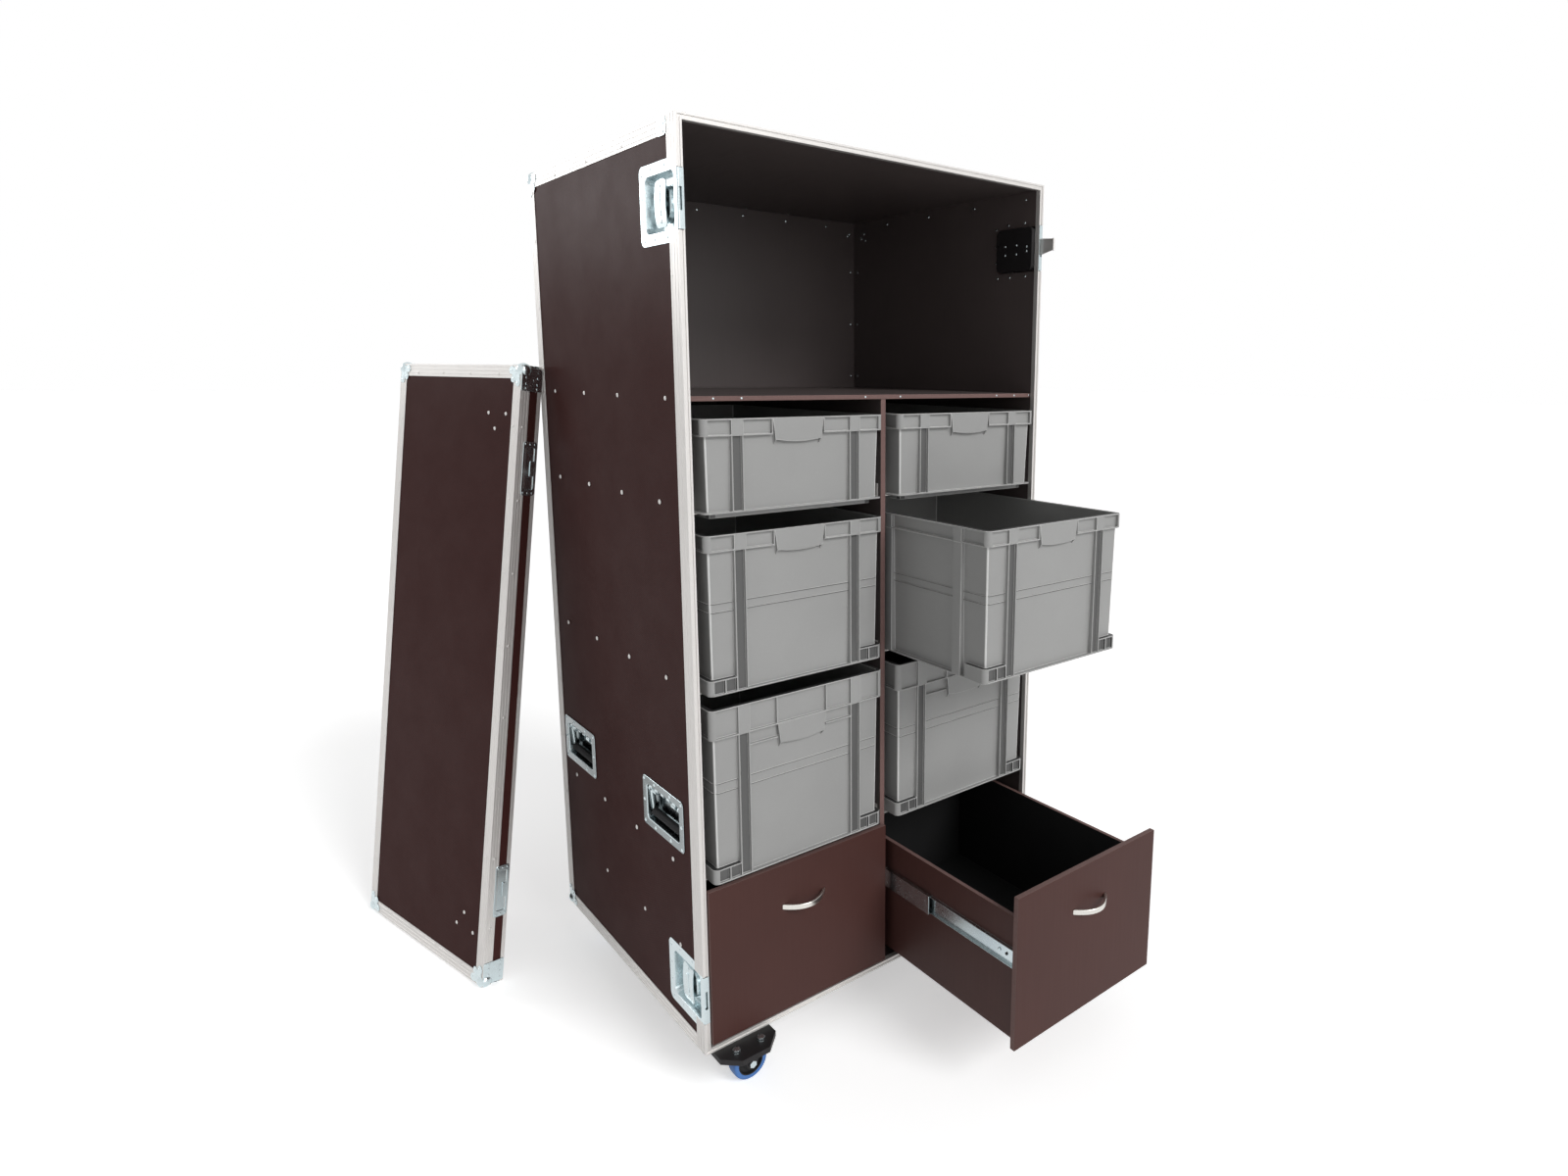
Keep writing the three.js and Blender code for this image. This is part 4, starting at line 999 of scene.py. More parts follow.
def make_rivets():
    """Rivets along every edge, and rows of larger ones through the sides."""
    line = sizes().rivet_inset
    for side in SIDES:
        bm = bmesh.new()
        for u in rivet_depths():
            add_rivet(bm, u, HEIGHT - line)
            add_rivet(bm, u, line)
        for v in rivet_levels():
            add_rivet(bm, DEPTH - line, v)
        held = ((SHELF_TOP - 5 * MM, (77, 287, 458, 627)), (190 * MM, (96, 261, 462)))
        for level, across in held:
            for u in across:
                add_rivet(bm, u * MM, level, SHEET, *LARGE_RIVET)
        for v in spread(260 * MM, HEIGHT - 260 * MM, 2 * sizes().rivet_pitch):
            add_rivet(bm, 28 * MM, v, radius=2.4 * MM, rise=0.8 * MM)
        piece(f"edge_rivets_{side}", bm, "aluminium", "case", FACES[side])
    ends = (line, WIDTH - line)
    rivet_piece("edge_rivets_back", "aluminium", "case", FACES["back"],
                [(u, v) for u in rivet_columns() for v in (HEIGHT - line, line)]
                + [(u, v) for v in rivet_levels() for u in ends])
    rivet_piece("edge_rivets_top", "aluminium", "case", FACES["top"],
                [(u, DEPTH - line) for u in rivet_columns()]
                + [(u, v) for v in rivet_depths() for u in ends])
    make_rivet_tails()


def make_rivet_tails():
    """The washers of the edge rivets, seen inside the compartment, and the shelf's screws."""
    line = sizes().rivet_inset
    inner = line + 5 * MM
    tail = {"radius": 3.2 * MM, "rise": 1.4 * MM}
    rows = [v for v in rivet_levels() if v > SHELF_TOP]
    rivet_piece("rivet_tails_back", "zinc", "case", axes(spot(0, DEPTH - INNER, 0), X, Z, Y),
                [(u, HEIGHT - inner) for u in rivet_columns()]
                + [(u, v) for v in rows for u in (line, WIDTH - line)]
                + [(WIDTH - u * MM, HEIGHT - (u + 14) * MM) for u in (26, 32)], **tail)
    for side, x, inwards in (("left", INNER, X), ("right", WIDTH - INNER, -X)):
        rivet_piece(f"rivet_tails_{side}", "zinc", "case", axes(spot(x, 0, 0), Y, Z, -inwards),
                    [(u, HEIGHT - inner) for u in rivet_depths(46 * MM)]
                    + [(DEPTH - inner, v) for v in rows]
                    + [(u * MM, HEIGHT - v * MM) for u, v in ((660, 42), (672, 54), (655, 60))],
                    **tail)
    rivet_piece("rivet_tails_top", "zinc", "case", axes(spot(0, 0, HEIGHT - INNER), X, Y, Z),
                [(u, DEPTH - inner) for u in rivet_columns()], **tail)
    near = (14, 63, 120)
    across = (*near, 400, 490, *(WIDTH / MM - u for u in reversed(near)))
    rivet_piece("shelf_screws", "zinc", "case", axes(spot(0, 15 * MM, 0), X, Z, Y),
                [(u * MM, SHELF_TOP - PLY / 2) for u in across], radius=2.1 * MM, rise=0.5 * MM)


def add_latch_dish(bm, level):
    """A pressed dish: a flange that runs under the closure frame, and a deep rounded well."""
    front = 3.4 * MM
    centre = ((front + LATCH_LENGTH) / 2, level)
    well_end = LATCH_LENGTH - LATCH_WELL_END
    mouth = ((LATCH_LIP + well_end) / 2, level)
    well = (well_end - LATCH_LIP, LATCH_WELL)
    steps = [(0, 0, 15), (0.8, 0.3, 14.5), (1.6, 1.6, 13.4), (4.0, 15, 11), (5.4, 18.4, 9.5),
             (9, LATCH_DEPTH / MM - 1.4, 7)]
    flange = (LATCH_LENGTH - front, LATCH_HEIGHT)
    rings = [(centre, flange, 14 * MM, 1.0 * MM), (centre, flange, 14 * MM, LATCH_FACE + 0.4 * MM),
             (centre, (flange[0] - 1 * MM, flange[1] - 1 * MM), 13.5 * MM, LATCH_FACE)]
    for inset, depth, radius in steps:
        size = (well[0] - 2 * inset * MM, well[1] - 2 * inset * MM)
        rings.append((mouth, size, radius * MM, LATCH_FACE + depth * MM))
    pressed(bm, rings)


def pressed(bm, rings):
    """Sheet metal pressed to a skin of rings, its outer side towards minus w."""
    loft(bm, rings)
    bmesh.ops.recalc_face_normals(bm, faces=bm.faces)
    deepest = max(bm.faces, key=lambda face: face.calc_center_median().z)
    if deepest.normal.z > 0:
        bmesh.ops.reverse_faces(bm, faces=bm.faces)
    bmesh.ops.solidify(bm, geom=bm.faces, thickness=0.9 * MM)


def add_latch_front(bm, level):
    """The bright sheet that bends from the dish round to the front face of the case."""
    half = LATCH_WELL / 2
    wide = INNER + 1.2 * MM
    sheet = 1.1 * MM
    bend = 3.2 * MM
    steps = 5
    side, face = LATCH_FACE - 0.5 * MM, -0.9 * MM
    outer = [(side, LATCH_LIP + 1 * MM)]
    inner = [(side + sheet, LATCH_LIP + 1 * MM)]
    for step in range(steps + 1):
        turn = math.pi / 2 * step / steps
        for points, radius in ((outer, bend), (inner, bend - sheet)):
            points.append((side + bend - radius * math.cos(turn),
                           face + bend - radius * math.sin(turn)))
    outer.append((wide, face))
    inner.append((wide, face + sheet))
    profile = outer + inner[::-1]
    add_run(bm, profile, Matrix.Translation((0, 0, level - half)), 2 * half)
    add_box(bm, (side + sheet, 3 * MM, level - half), (wide, 4 * MM, level + half))
    for v in (level - half, level + half - sheet):
        add_box(bm, (side, 0.5 * MM, v), (wide, LATCH_LIP + 1 * MM, v + sheet), 0.4 * MM)


def make_latch_dishes():
    """Four recessed latch dishes with their flanges, rivets and front channels."""
    for level in LEVELS:
        for side in SIDES:
            height = LATCH_LEVELS[level]
            bm = bmesh.new()
            add_latch_dish(bm, height)
            for u, v in LATCH_RIVETS:
                add_rivet(bm, u * MM, height + v * MM, LATCH_FACE, 3.2 * MM, 1.3 * MM)
            piece(f"latch_pan_{level}_{side}", bm, "zinc", "case", FACES[side],
                  [f"latch_dish_{level}_{side}"])
            bm = bmesh.new()
            add_latch_front(bm, height)
            shut(bm)
            outward = X if side == "left" else -X
            origin = spot(0 if side == "left" else WIDTH, 0, 0)
            place = axes(origin, outward, Y, Z)
            front = piece(f"latch_front_{level}_{side}", bm, "zinc", "case", place)
            near, far = sorted((place @ Vector((depth * MM, 0, 0))).x for depth in (2.2, 8))
            slot = 19 * MM
            carve(front, [(Vector((near, FRONT - 2 * MM, UNDER + height - slot)),
                           Vector((far, FRONT + 2.6 * MM, UNDER + height + slot)))])
            make_latch_back(level, side, height)
    make_latch_tongue()


def make_latch_tongue():
    """The hooked tongue of the upper right latch, which stands forward out of its slot."""
    height = LATCH_LEVELS["upper"]
    bm = bmesh.new()
    outline = [(8, -15), (8, 21), (-2, 21), (-37, 18), (-37, -7), (-2, -15)]
    face = bm.faces.new([bm.verts.new((4.2 * MM, y * MM, height + z * MM)) for y, z in outline])
    thicken(bm, [face], (1.8 * MM, 0, 0))
    shut(bm)
    soften(bm, 0.5 * MM)
    roll = [(0, -8), (2, -8), (2.6, -7.4), (2.6, 18.4), (2, 19), (0, 19)]
    add_turned(bm, in_mm(roll), along(Z, Vector((4.6 * MM, -38 * MM, height))), 16)
    piece("latch_tongue_upper_right", bm, "aluminium", "case", axes(spot(WIDTH, 0, 0), -X, Y, Z))


def make_latch_back(level, side, height):
    """The black backing plate and rivet tails behind a dish, on the inside of the panel."""
    bm = bmesh.new()
    inwards = X if side == "left" else -X
    wall = INNER if side == "left" else WIDTH - INNER
    place = axes(spot(wall, 0, 0), Y, Z, -inwards)
    well_end = LATCH_LENGTH - LATCH_WELL_END
    for u, v in LATCH_RIVETS:
        add_rivet(bm, u * MM, height + v * MM, 0, 3.4 * MM, 1.6 * MM)
    deep = -(LATCH_DEPTH - INNER) - 0.35 * MM
    for u, v in ((30, 5), (30, -5), (62, 10), (62, -10), (98, 10), (98, -10)):
        add_rivet(bm, u * MM, height + v * MM, deep, 3.2 * MM, 1.3 * MM)
    piece(f"latch_rivet_tails_{level}_{side}", bm, "zinc", "case", place)
    bm = bmesh.new()
    middle = (LATCH_LIP + well_end) / 2
    size = (well_end - LATCH_LIP - 2 * MM, LATCH_WELL - 2 * MM)
    loft(bm, [
        ((middle, height), size, 12 * MM, -0.1 * MM),
        ((middle, height), size, 12 * MM, deep + 2 * MM),
        ((middle, height), (size[0] - 3 * MM, size[1] - 3 * MM), 11 * MM, deep + 0.4 * MM),
        ((middle, height), (size[0] - 5 * MM, size[1] - 5 * MM), 10 * MM, deep),
    ])
    shut(bm)
    piece(f"latch_back_{level}_{side}", bm, "black_steel", "case", place)


def make_latch_wings():
    """Four butterfly wings on turned hubs. The upper right one stands out of its dish."""
    for level in LEVELS:
        for side in SIDES:
            body = f"{level}_{side}_wing"
            height = LATCH_LEVELS[level]
            bm = bmesh.new()
            floor = LATCH_DEPTH - 1.9 * MM
            centre = Vector((WING_FROM_FRONT, height, 0))
            hub = [(0, 4.4), (9.5, 4.4), (11, 5.4), (11, 7.4), (14, 8.2), (27, 8.8), (29.5, 10),
                   (30.3, 12), (31.5, floor / MM), (0, floor / MM)]
            add_turned(bm, in_mm(hub), Matrix.Translation(centre), 36)
            for u, v in ((-4, 24), (5, 24), (-4, -24), (5, -24)):
                add_rivet(bm, centre.x + u * MM, height + v * MM, 8.7 * MM, 2.2 * MM, 1 * MM)
            if level == "upper" and side == "right":
                add_standing_wing(bm, height)
            else:
                add_flat_wing(bm, height)
            bmesh.ops.recalc_face_normals(bm, faces=bm.faces)
            piece(f"latch_butterfly_{level}_{side}", bm, "zinc", body, FACES[side],
                  [f"latch_wing_{level}_{side}"])


def add_flat_wing(bm, height):
    """Two folded leaves, arched over the hub and raised to a ridge between them."""
    start = len(bm.verts)
    centre = (WING_FROM_FRONT, height)
    add_plate(bm, centre, (WING_WIDTH, WING_LENGTH), 9 * MM, 2.2 * MM, 4.6 * MM, 0.7 * MM)
    bm.verts.ensure_lookup_table()
    verts = bm.verts[start:]
    for share in (-0.75, -0.5, -0.25, 0, 0.25, 0.5, 0.75):
        faces = list(dict.fromkeys(face for vert in verts for face in vert.link_faces))
        bmesh.ops.bisect_plane(
            bm, geom=verts + edges_of(verts) + faces, dist=0.001 * MM, plane_no=(0, 1, 0),
            plane_co=(0, height + share * WING_LENGTH / 2, 0))
        bm.verts.ensure_lookup_table()
        verts = bm.verts[start:]
    for vert in verts:
        share = (vert.co.y - height) / (WING_LENGTH / 2)
        vert.co.z += 3.0 * MM * share * share
    ridge = (3.6 * MM, 21 * MM)
    add_box(bm, (WING_FROM_FRONT - ridge[0], height - ridge[1], 0.9 * MM),
            (WING_FROM_FRONT + ridge[0], height + ridge[1], 5 * MM), 1.6 * MM, 3)
    for v in (-29, 29):
        add_rivet(bm, WING_FROM_FRONT, height + v * MM, 3.9 * MM, 4.2 * MM, 1.6 * MM, 16)


def add_standing_wing(bm, height):
    """The two leaves folded together, standing out like a key."""
    half = WING_LENGTH / 2
    low, high = -23 * MM, 10 * MM
    for shift in (-1.7 * MM, 0.3 * MM):
        outline = [(height - half, high), (height + half, high), (height + half, high - 12 * MM),
                   (height + half - 13 * MM, low), (height - half + 13 * MM, low),
                   (height - half, high - 12 * MM)]
        face = bm.faces.new([bm.verts.new((WING_FROM_FRONT + shift, v, w)) for v, w in outline])
        corners = list(face.verts)
        bmesh.ops.bevel(bm, geom=corners, offset=6 * MM, offset_type="OFFSET", segments=4,
                        profile=0.5, affect="VERTICES", clamp_overlap=True, material=-1)
        bm.faces.ensure_lookup_table()
        flat = [f for f in bm.faces if all(abs(v.co.x - WING_FROM_FRONT - shift) < 1e-6
                                           for v in f.verts)]
        thicken(bm, flat, (1.4 * MM, 0, 0))


HANDLE_LENGTH = 180 * MM
HANDLE_HEIGHT = 106 * MM
HANDLE_WELL = (146 * MM, 76 * MM)
HANDLE_DEPTH = 24 * MM
BAIL_PIVOT = (6 * MM, 28 * MM)
BAIL_DROP = 50 * MM
BAIL_GRIP_INSET = 11 * MM


def handle_place(end):
    """The middle of a handle's dish, from the case's front and underside."""
    low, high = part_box(f"handle_dish_{end}_left")
    return (low.y + high.y) / 2 - FRONT, (low.z + high.z) / 2 - UNDER


def make_handles():
    """Four recessed drop handles: dish, sprung bail, ribbed grip and rivets."""
    for end in ENDS:
        centre = handle_place(end)
        for side in SIDES:
            make_handle_dish(end, side, centre)
            make_bail(end, side, centre)


def make_handle_dish(end, side, centre):
    """A handle's pressed dish, its rivets, springs and hinge."""
    bm = bmesh.new()
    face = -0.7 * MM
    outline = (HANDLE_LENGTH, HANDLE_HEIGHT)
    rings = [(centre, outline, 10 * MM, 1 * MM), (centre, outline, 10 * MM, face + 0.4 * MM),
             (centre, (outline[0] - 1 * MM, outline[1] - 1 * MM), 9.5 * MM, face)]
    steps = [(0, 0, 9), (0.9, 0.5, 8.5), (1.5, 1.9, 8), (3.0, 16, 7.5), (4.4, 20.5, 6.5),
             (7.5, HANDLE_DEPTH / MM - 1, 5)]
    for inset, depth, radius in steps:
        size = (HANDLE_WELL[0] - 2 * inset * MM, HANDLE_WELL[1] - 2 * inset * MM)
        rings.append((centre, size, radius * MM, face + depth * MM))
    pressed(bm, rings)
    # The flange and the deep well take the darker zinc, a painted dark reflection; the tilted bends
    # near the face keep the plain zinc, so they read as bright lines.
    for item in bm.faces:
        tilted = 0.1 < abs(item.normal.z) < 0.97
        item.material_index = int(tilted and item.calc_center_median().z < 3 * MM)
    along_u = HANDLE_LENGTH / 2 - 8 * MM
    along_v = HANDLE_HEIGHT / 2 - 7 * MM
    rivets = [(u * along_u, v * along_v) for u in (-1, -0.42, 0.42, 1) for v in (-1, 1)]
    rivets += [(-along_u, 0), (along_u, 0)]
    piece(f"handle_pan_{end}_{side}", bm, ["handle_zinc", "zinc"], "case", FACES[side],
          [f"handle_dish_{end}_{side}"])
    bm = bmesh.new()
    for u, v in rivets:
        add_rivet(bm, centre[0] + u, centre[1] + v, face, 3.6 * MM, 1.9 * MM, 12)
    for u in (-1, 1):
        add_spring(bm, (centre[0] + u * 43 * MM, centre[1] + BAIL_PIVOT[1]))
    knuckle = [(0, 0), (4, 0), (4.6, 0.8), (4.6, 11.2), (4, 12), (0, 12)]
    for u in (-52, -26, 0, 26, 52):
        start = Vector((centre[0] + (u - 6) * MM, centre[1] + HANDLE_WELL[1] / 2 - 1.5 * MM,
                        3 * MM))
        add_turned(bm, in_mm(knuckle), along(X, start), 16)
    piece(f"handle_hinge_{end}_{side}", bm, "zinc", "case", FACES[side])


def add_spring(bm, centre):
    """A wound spring about the bail's pin, with the ends of the wire tucked in."""
    turns, wire, radius, steps = 9, 0.9 * MM, 4.4 * MM, 12
    length = turns * 2.1 * wire
    start = centre[0] - length / 2
    place = along(Vector((0, 0, 1)), Vector((start, centre[1] + radius, BAIL_PIVOT[0])))
    made = bmesh.ops.create_circle(bm, segments=6, radius=wire, matrix=place)
    verts = made["verts"]
    count = turns * steps
    bmesh.ops.spin(bm, geom=verts + edges_of(verts), cent=(start, centre[1], BAIL_PIVOT[0]),
                   axis=(1, 0, 0), dvec=(length / count, 0, 0), angle=math.tau * turns,
                   steps=count, use_merge=False)
    ends = [e for e in bm.edges if e.is_boundary]
    if ends:
        bmesh.ops.holes_fill(bm, edges=ends, sides=8)
    bmesh.ops.recalc_face_normals(bm, faces=bm.faces)


def make_bail(end, side, centre):
    """The bail: zinc arms on pins, and a ribbed rubber grip between them."""
    body = f"{end}_{side}_bail"
    half_well = HANDLE_WELL[0] / 2 - 1.5 * MM
    arm = half_well - 7 * MM
    pivot_v = centre[1] + BAIL_PIVOT[1]
    grip_v = pivot_v - BAIL_DROP
    bm = bmesh.new()
    rib = 3.1 * MM
    count = round(2 * (arm - 4 * MM) / rib)
    length = count * rib
    start = centre[0] - length / 2
    profile = [(0.0, 0.0), (6.9 * MM, 0.0)]
    for index in range(count):
        base = index * rib
        profile += [(7.9 * MM, base + 0.25 * rib), (7.9 * MM, base + 0.6 * rib),
                    (7.2 * MM, base + 0.8 * rib), (7.2 * MM, base + rib)]
    profile.append((0.0, length))
    place = along(X, Vector((start, grip_v, BAIL_GRIP_INSET)))
    add_turned(bm, profile, place, 20)
    shut(bm)
    piece(f"handle_grip_{end}_{side}", bm, "rubber", body, FACES[side],
          [f"handle_bail_{end}_{side}"])
    bm = bmesh.new()
    for way in (-1, 1):
        u = centre[0] + way * arm
        points = [Vector((u - way * 6 * MM, grip_v, BAIL_GRIP_INSET)),
                  Vector((u - way * 2 * MM, grip_v, BAIL_GRIP_INSET)),
                  Vector((u, grip_v + 2.5 * MM, BAIL_GRIP_INSET)),
                  Vector((u, pivot_v - 4 * MM, BAIL_PIVOT[0] + 0.6 * MM)),
                  Vector((u, pivot_v + 1 * MM, BAIL_PIVOT[0]))]
        add_tube(bm, points, 3.2 * MM, 12)
        pin = [(0, 0), (2.8, 0), (2.8, 11), (0, 11)]
        place = along(X * way, Vector((u - way * 6 * MM, pivot_v, BAIL_PIVOT[0])))
        add_turned(bm, in_mm(pin), place, 14)
        eye = [(0, 0), (5, 0), (5.4, 0.5), (5.4, 4.5), (5, 5), (0, 5)]
        place = along(X * way, Vector((u - way * 2.5 * MM, pivot_v, BAIL_PIVOT[0])))
        add_turned(bm, in_mm(eye), place, 18)
    shut(bm)
    piece(f"handle_arms_{end}_{side}", bm, "zinc", body, FACES[side])


RING_CORNERS = 60


def make_bins():
    """Six moulded stacking bins with rounded corners, ribs, bands and waist beads."""
    for row in ROWS:
        for side in SIDES:
            node = f"bin_{row}_{side}"
            low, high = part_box(node)
            bm = merged_copy(node)
            sharpen_corners(bm, low, high)
            # Left whole, the flat ring under the rim would be closed over the mouth by the bevel
            rings = [face for face in bm.faces
                     if abs(face.normal.z) > 0.99 and len(face.verts) > RING_CORNERS]
            bmesh.ops.triangulate(bm, faces=rings)
            for face in bm.faces:
                face.material_index = bin_part(face, low, high)
            made = bevel_edges(bm, sharp_edges(bm), sizes().bin_edge, segments=1, clamp=False)
            # The rounded edges take the lighter grey, as a painted highlight along every edge.
            for face in made["faces"]:
                face.material_index = 1
            if row != "top":
                add_waist(bm, low, high)
            piece(f"stacking_{node}", bm, ["bins", "bin_edges", "bin_inside", "bin_recess"],
                  f"{row}_{side}_bin", replaced=[node])


def sharpen_corners(bm, low, high):
    """Draws the rounded corners of the bin's body together, so that they are as tight as moulded.
    The corners of its rim and of its foot stay wide."""
    wide, tight = 12 * MM, 3 * MM
    for vert in bm.verts:
        near = []
        for axis in (0, 1):
            gap, back = vert.co[axis] - low[axis], high[axis] - vert.co[axis]
            near.append((gap, 1) if gap < back else (back, -1))
        across, along_y = near[0][0], near[1][0]
        tilt = across - along_y
        if (min(across, along_y) < 7.5 * MM or max(across, along_y) > 26 * MM
                or abs(tilt) > 12.2 * MM):
            continue
        middle = (across + along_y + math.sqrt(max(0, 2 * wide * wide - tilt * tilt))) / 2
        for axis in (0, 1):
            gap, sign = near[axis]
            moved = middle - wide + tight + (gap - middle) * tight / wide
            vert.co[axis] += sign * (moved - gap)


def bin_part(face, low, high):
    """Which finish a face of a bin takes: 0 outside, 1 on the rounded upright corners as a painted
    highlight, 2 inside as painted shade, 3 in a recess between ribs or in a foot pocket as painted
    shade.
    """
    centre = face.calc_center_median()
    wall = 13 * MM
    upright = low.z + 29 * MM < centre.z < high.z - 32 * MM
    # Rounded upright corners: lighter grey, a painted highlight.
    if upright and min(abs(face.normal.x), abs(face.normal.y)) > 0.15:
        return 1
    # Inside the walls: near-black grey, painted shade.
    if (low.x + wall < centre.x < high.x - wall and low.y + wall < centre.y < high.y - wall
            and centre.z > low.z + 14 * MM):
        return 2
    if abs(face.normal.z) > 0.5:
        return 0
    facing = 1 if abs(face.normal.y) > abs(face.normal.x) else 0
    sunk = min(centre[facing] - low[facing], high[facing] - centre[facing]) > 5 * MM
    other = 1 - facing
    offset = min(centre[other] - low[other], high[other] - centre[other])
    channel = facing == 1 and 58 * MM < offset < 80 * MM
    pocket = centre.z < low.z + 27 * MM and offset < 96 * MM
    # Sunk channels between ribs and foot pockets: darker grey, painted shade.
    return 3 if sunk and (channel or pocket) else 0


def add_waist(bm, low, high):
    """Two thin beads that run round the bin at its waist."""
    height = high.z - low.z
    inset = 8 * MM
    for share in (0.52, 0.575):
        level = low.z + share * height
        taper = inset + 4 * MM * (1 - share) - 0.5 * MM
        proud = taper - 1.6 * MM
        middle = ((low.x + high.x) / 2, (low.y + high.y) / 2)
        size = (high.x - low.x - 2 * proud, high.y - low.y - 2 * proud)
        inner = (size[0] - 6 * MM, size[1] - 6 * MM)
        half = 1.1 * MM
        rings = [(middle, inner, 8 * MM, level - half),
                 (middle, size, 11 * MM, level - half + 0.5 * MM),
                 (middle, size, 11 * MM, level + half - 0.5 * MM),
                 (middle, inner, 8 * MM, level + half)]
        known = set(bm.faces)
        loft(bm, [*rings, rings[0]], last=False)
        for face in set(bm.faces) - known:
            # The bead's side and lower faces are painted darker as shade, its upper faces lighter as
            # a painted highlight.
            face.material_index = 3 if face.normal.z < 0.5 else 1
    bmesh.ops.remove_doubles(bm, verts=bm.verts, dist=0.001 * MM)


def make_runners():
    """White aluminium runners under the bins, and their rivets through the walls."""
    for row in ROWS:
        for node in (f"runner_{row}_left", f"runner_{row}_right", f"runner_pair_{row}"):
            dressed(node, "aluminium", "case", edge=0.25 * MM)
        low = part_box(f"runner_pair_{row}")[0]
        level = low.z + 1.8 * MM + 13 * MM - UNDER
        for side in SIDES:
            rivet_piece(f"runner_rivets_{row}_{side}", "aluminium", "case", FACES[side],
                        [(u * MM, level) for u in (113, 283, 452, 621)],
                        0.15 * MM, 4.9 * MM, 1.7 * MM)


def make_drawers():
    """Two drawers: smooth fronts, open boxes with slide members, bow pulls and screws."""
    for side in SIDES:
        body = f"{side}_drawer"
        front = f"drawer_front_{side}"
        dressed(front, ["drawer", "ply_edge"], body,
                lambda centre, normal: int(abs(normal.y) < 0.5), edge=0.8 * MM)
        box = f"drawer_box_{side}"
        low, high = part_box(box)
        reach = 7.2 * MM - 1.2 * MM + 0.1 * MM

        def choose(centre, normal, low=low, high=high, reach=reach):
            if centre.x < low.x + reach or centre.x > high.x - reach:
                return 1
            if normal.z > 0.5 and centre.z > low.z + 60 * MM:
                return 2
            wall = PLY + reach + 1 * MM
            within = (low.x + wall - 2 * MM < centre.x < high.x - wall + 2 * MM
                      and centre.y < high.y - PLY / 2 and centre.z > low.z + PLY / 2)
            return 0 if within else 3

        dressed(box, ["lining", "zinc", "ply_edge", "drawer"], body, choose)
        dressed(f"drawer_pull_{side}", "nickel", body, edge=1.3 * MM)
        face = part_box(front)[1].y + PLY + 0.3 * MM
        middle = (low.x + high.x) / 2
        across = [middle + share * (high.x - low.x) for share in (-0.36, -0.14, 0.14, 0.36)]
        levels = (high.z - 40 * MM, low.z + 60 * MM)
        rivet_piece(f"drawer_screws_{side}", "zinc", body, axes((0, face, 0), X, Z, -Y),
                    [(u, v) for u in across for v in levels], radius=2.6 * MM, rise=1 * MM)
        wall = high.x - reach - PLY
        rivet_piece(f"drawer_side_screws_{side}", "zinc", body, axes((wall, 0, 0), Y, Z, X),
                    [(face + y * MM, levels[0]) for y in (110, 250)], radius=2.4 * MM, rise=1 * MM)


def make_slides():
    """Members of the telescopic slides, with catches and screws."""
    for side in SIDES:
        low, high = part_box(f"drawer_box_{side}")
        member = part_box(f"slide_member_{side}_near")
        level = (member[0].z + member[1].z) / 2
        for end, x, inwards in (("near", low.x, 1), ("far", high.x, -1)):
            place = axes((x + inwards * 4.6 * MM, 0, 0), Y, Z, X * inwards)
            rivet_piece(f"slide_front_screw_{side}_{end}", "zinc", f"{side}_drawer", place,
                        [(low.y + 46 * MM, level)], 0, 3.6 * MM, 1.3 * MM, 12)
            rivet_piece(f"slide_front_hole_{side}_{end}", "rubber", f"{side}_drawer", place,
                        [(low.y + 26 * MM, level)], 0, 3.2 * MM, 0.3 * MM, 12)
        for end, inwards in (("near", 1), ("far", -1)):
            node = f"slide_member_{side}_{end}"
            dressed(node, "zinc", f"{side}_slides", edge=0.35 * MM)
            low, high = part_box(node)
            web = low.x if inwards > 0 else high.x
            middle = (low.z + high.z) / 2
            bm = bmesh.new()
            left, right = sorted((web + inwards * 1.3 * MM, web + inwards * 6.4 * MM))
            add_box(bm, (left, low.y + 2 * MM, middle - 11 * MM),
                    (right, low.y + 26 * MM, middle + 11 * MM), 1.4 * MM, 3)
            piece(f"slide_catch_{side}_{end}", bm, "rubber", f"{side}_slides")
            place = axes((web + inwards * 1.3 * MM, 0, 0), Y, Z, -X * inwards)
            rivet_piece(f"slide_screws_{side}_{end}", "zinc", f"{side}_slides", place,
                        [(low.y + u * MM, middle) for u in (48, 76, 300, 420)],
                        0, 3.4 * MM, 1.2 * MM, 12)


def make_casters():
    """Four swivel casters: coated forks, wheels with a blue tread, axle nuts and plates."""
    for end in ENDS:
        for side in SIDES:
            fork = f"caster_fork_{end}_{side}"
            low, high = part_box(fork)
            middle = (low.y + high.y) / 2
            cheek = (high.y - low.y) / 2 - 5 * MM - 0.1 * MM
            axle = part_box(f"caster_wheel_{end}_{side}")
            axle_z = (axle[0].z + axle[1].z) / 2

            def choose(centre, normal, middle=middle, cheek=cheek, axle_z=axle_z):
                return int(abs(centre.y - middle) > cheek and centre.z < axle_z + 12 * MM)

            dressed(fork, ["black_steel", "zinc"], f"{end}_{side}_fork", choose, 0.7 * MM)
            make_wheel(end, side)


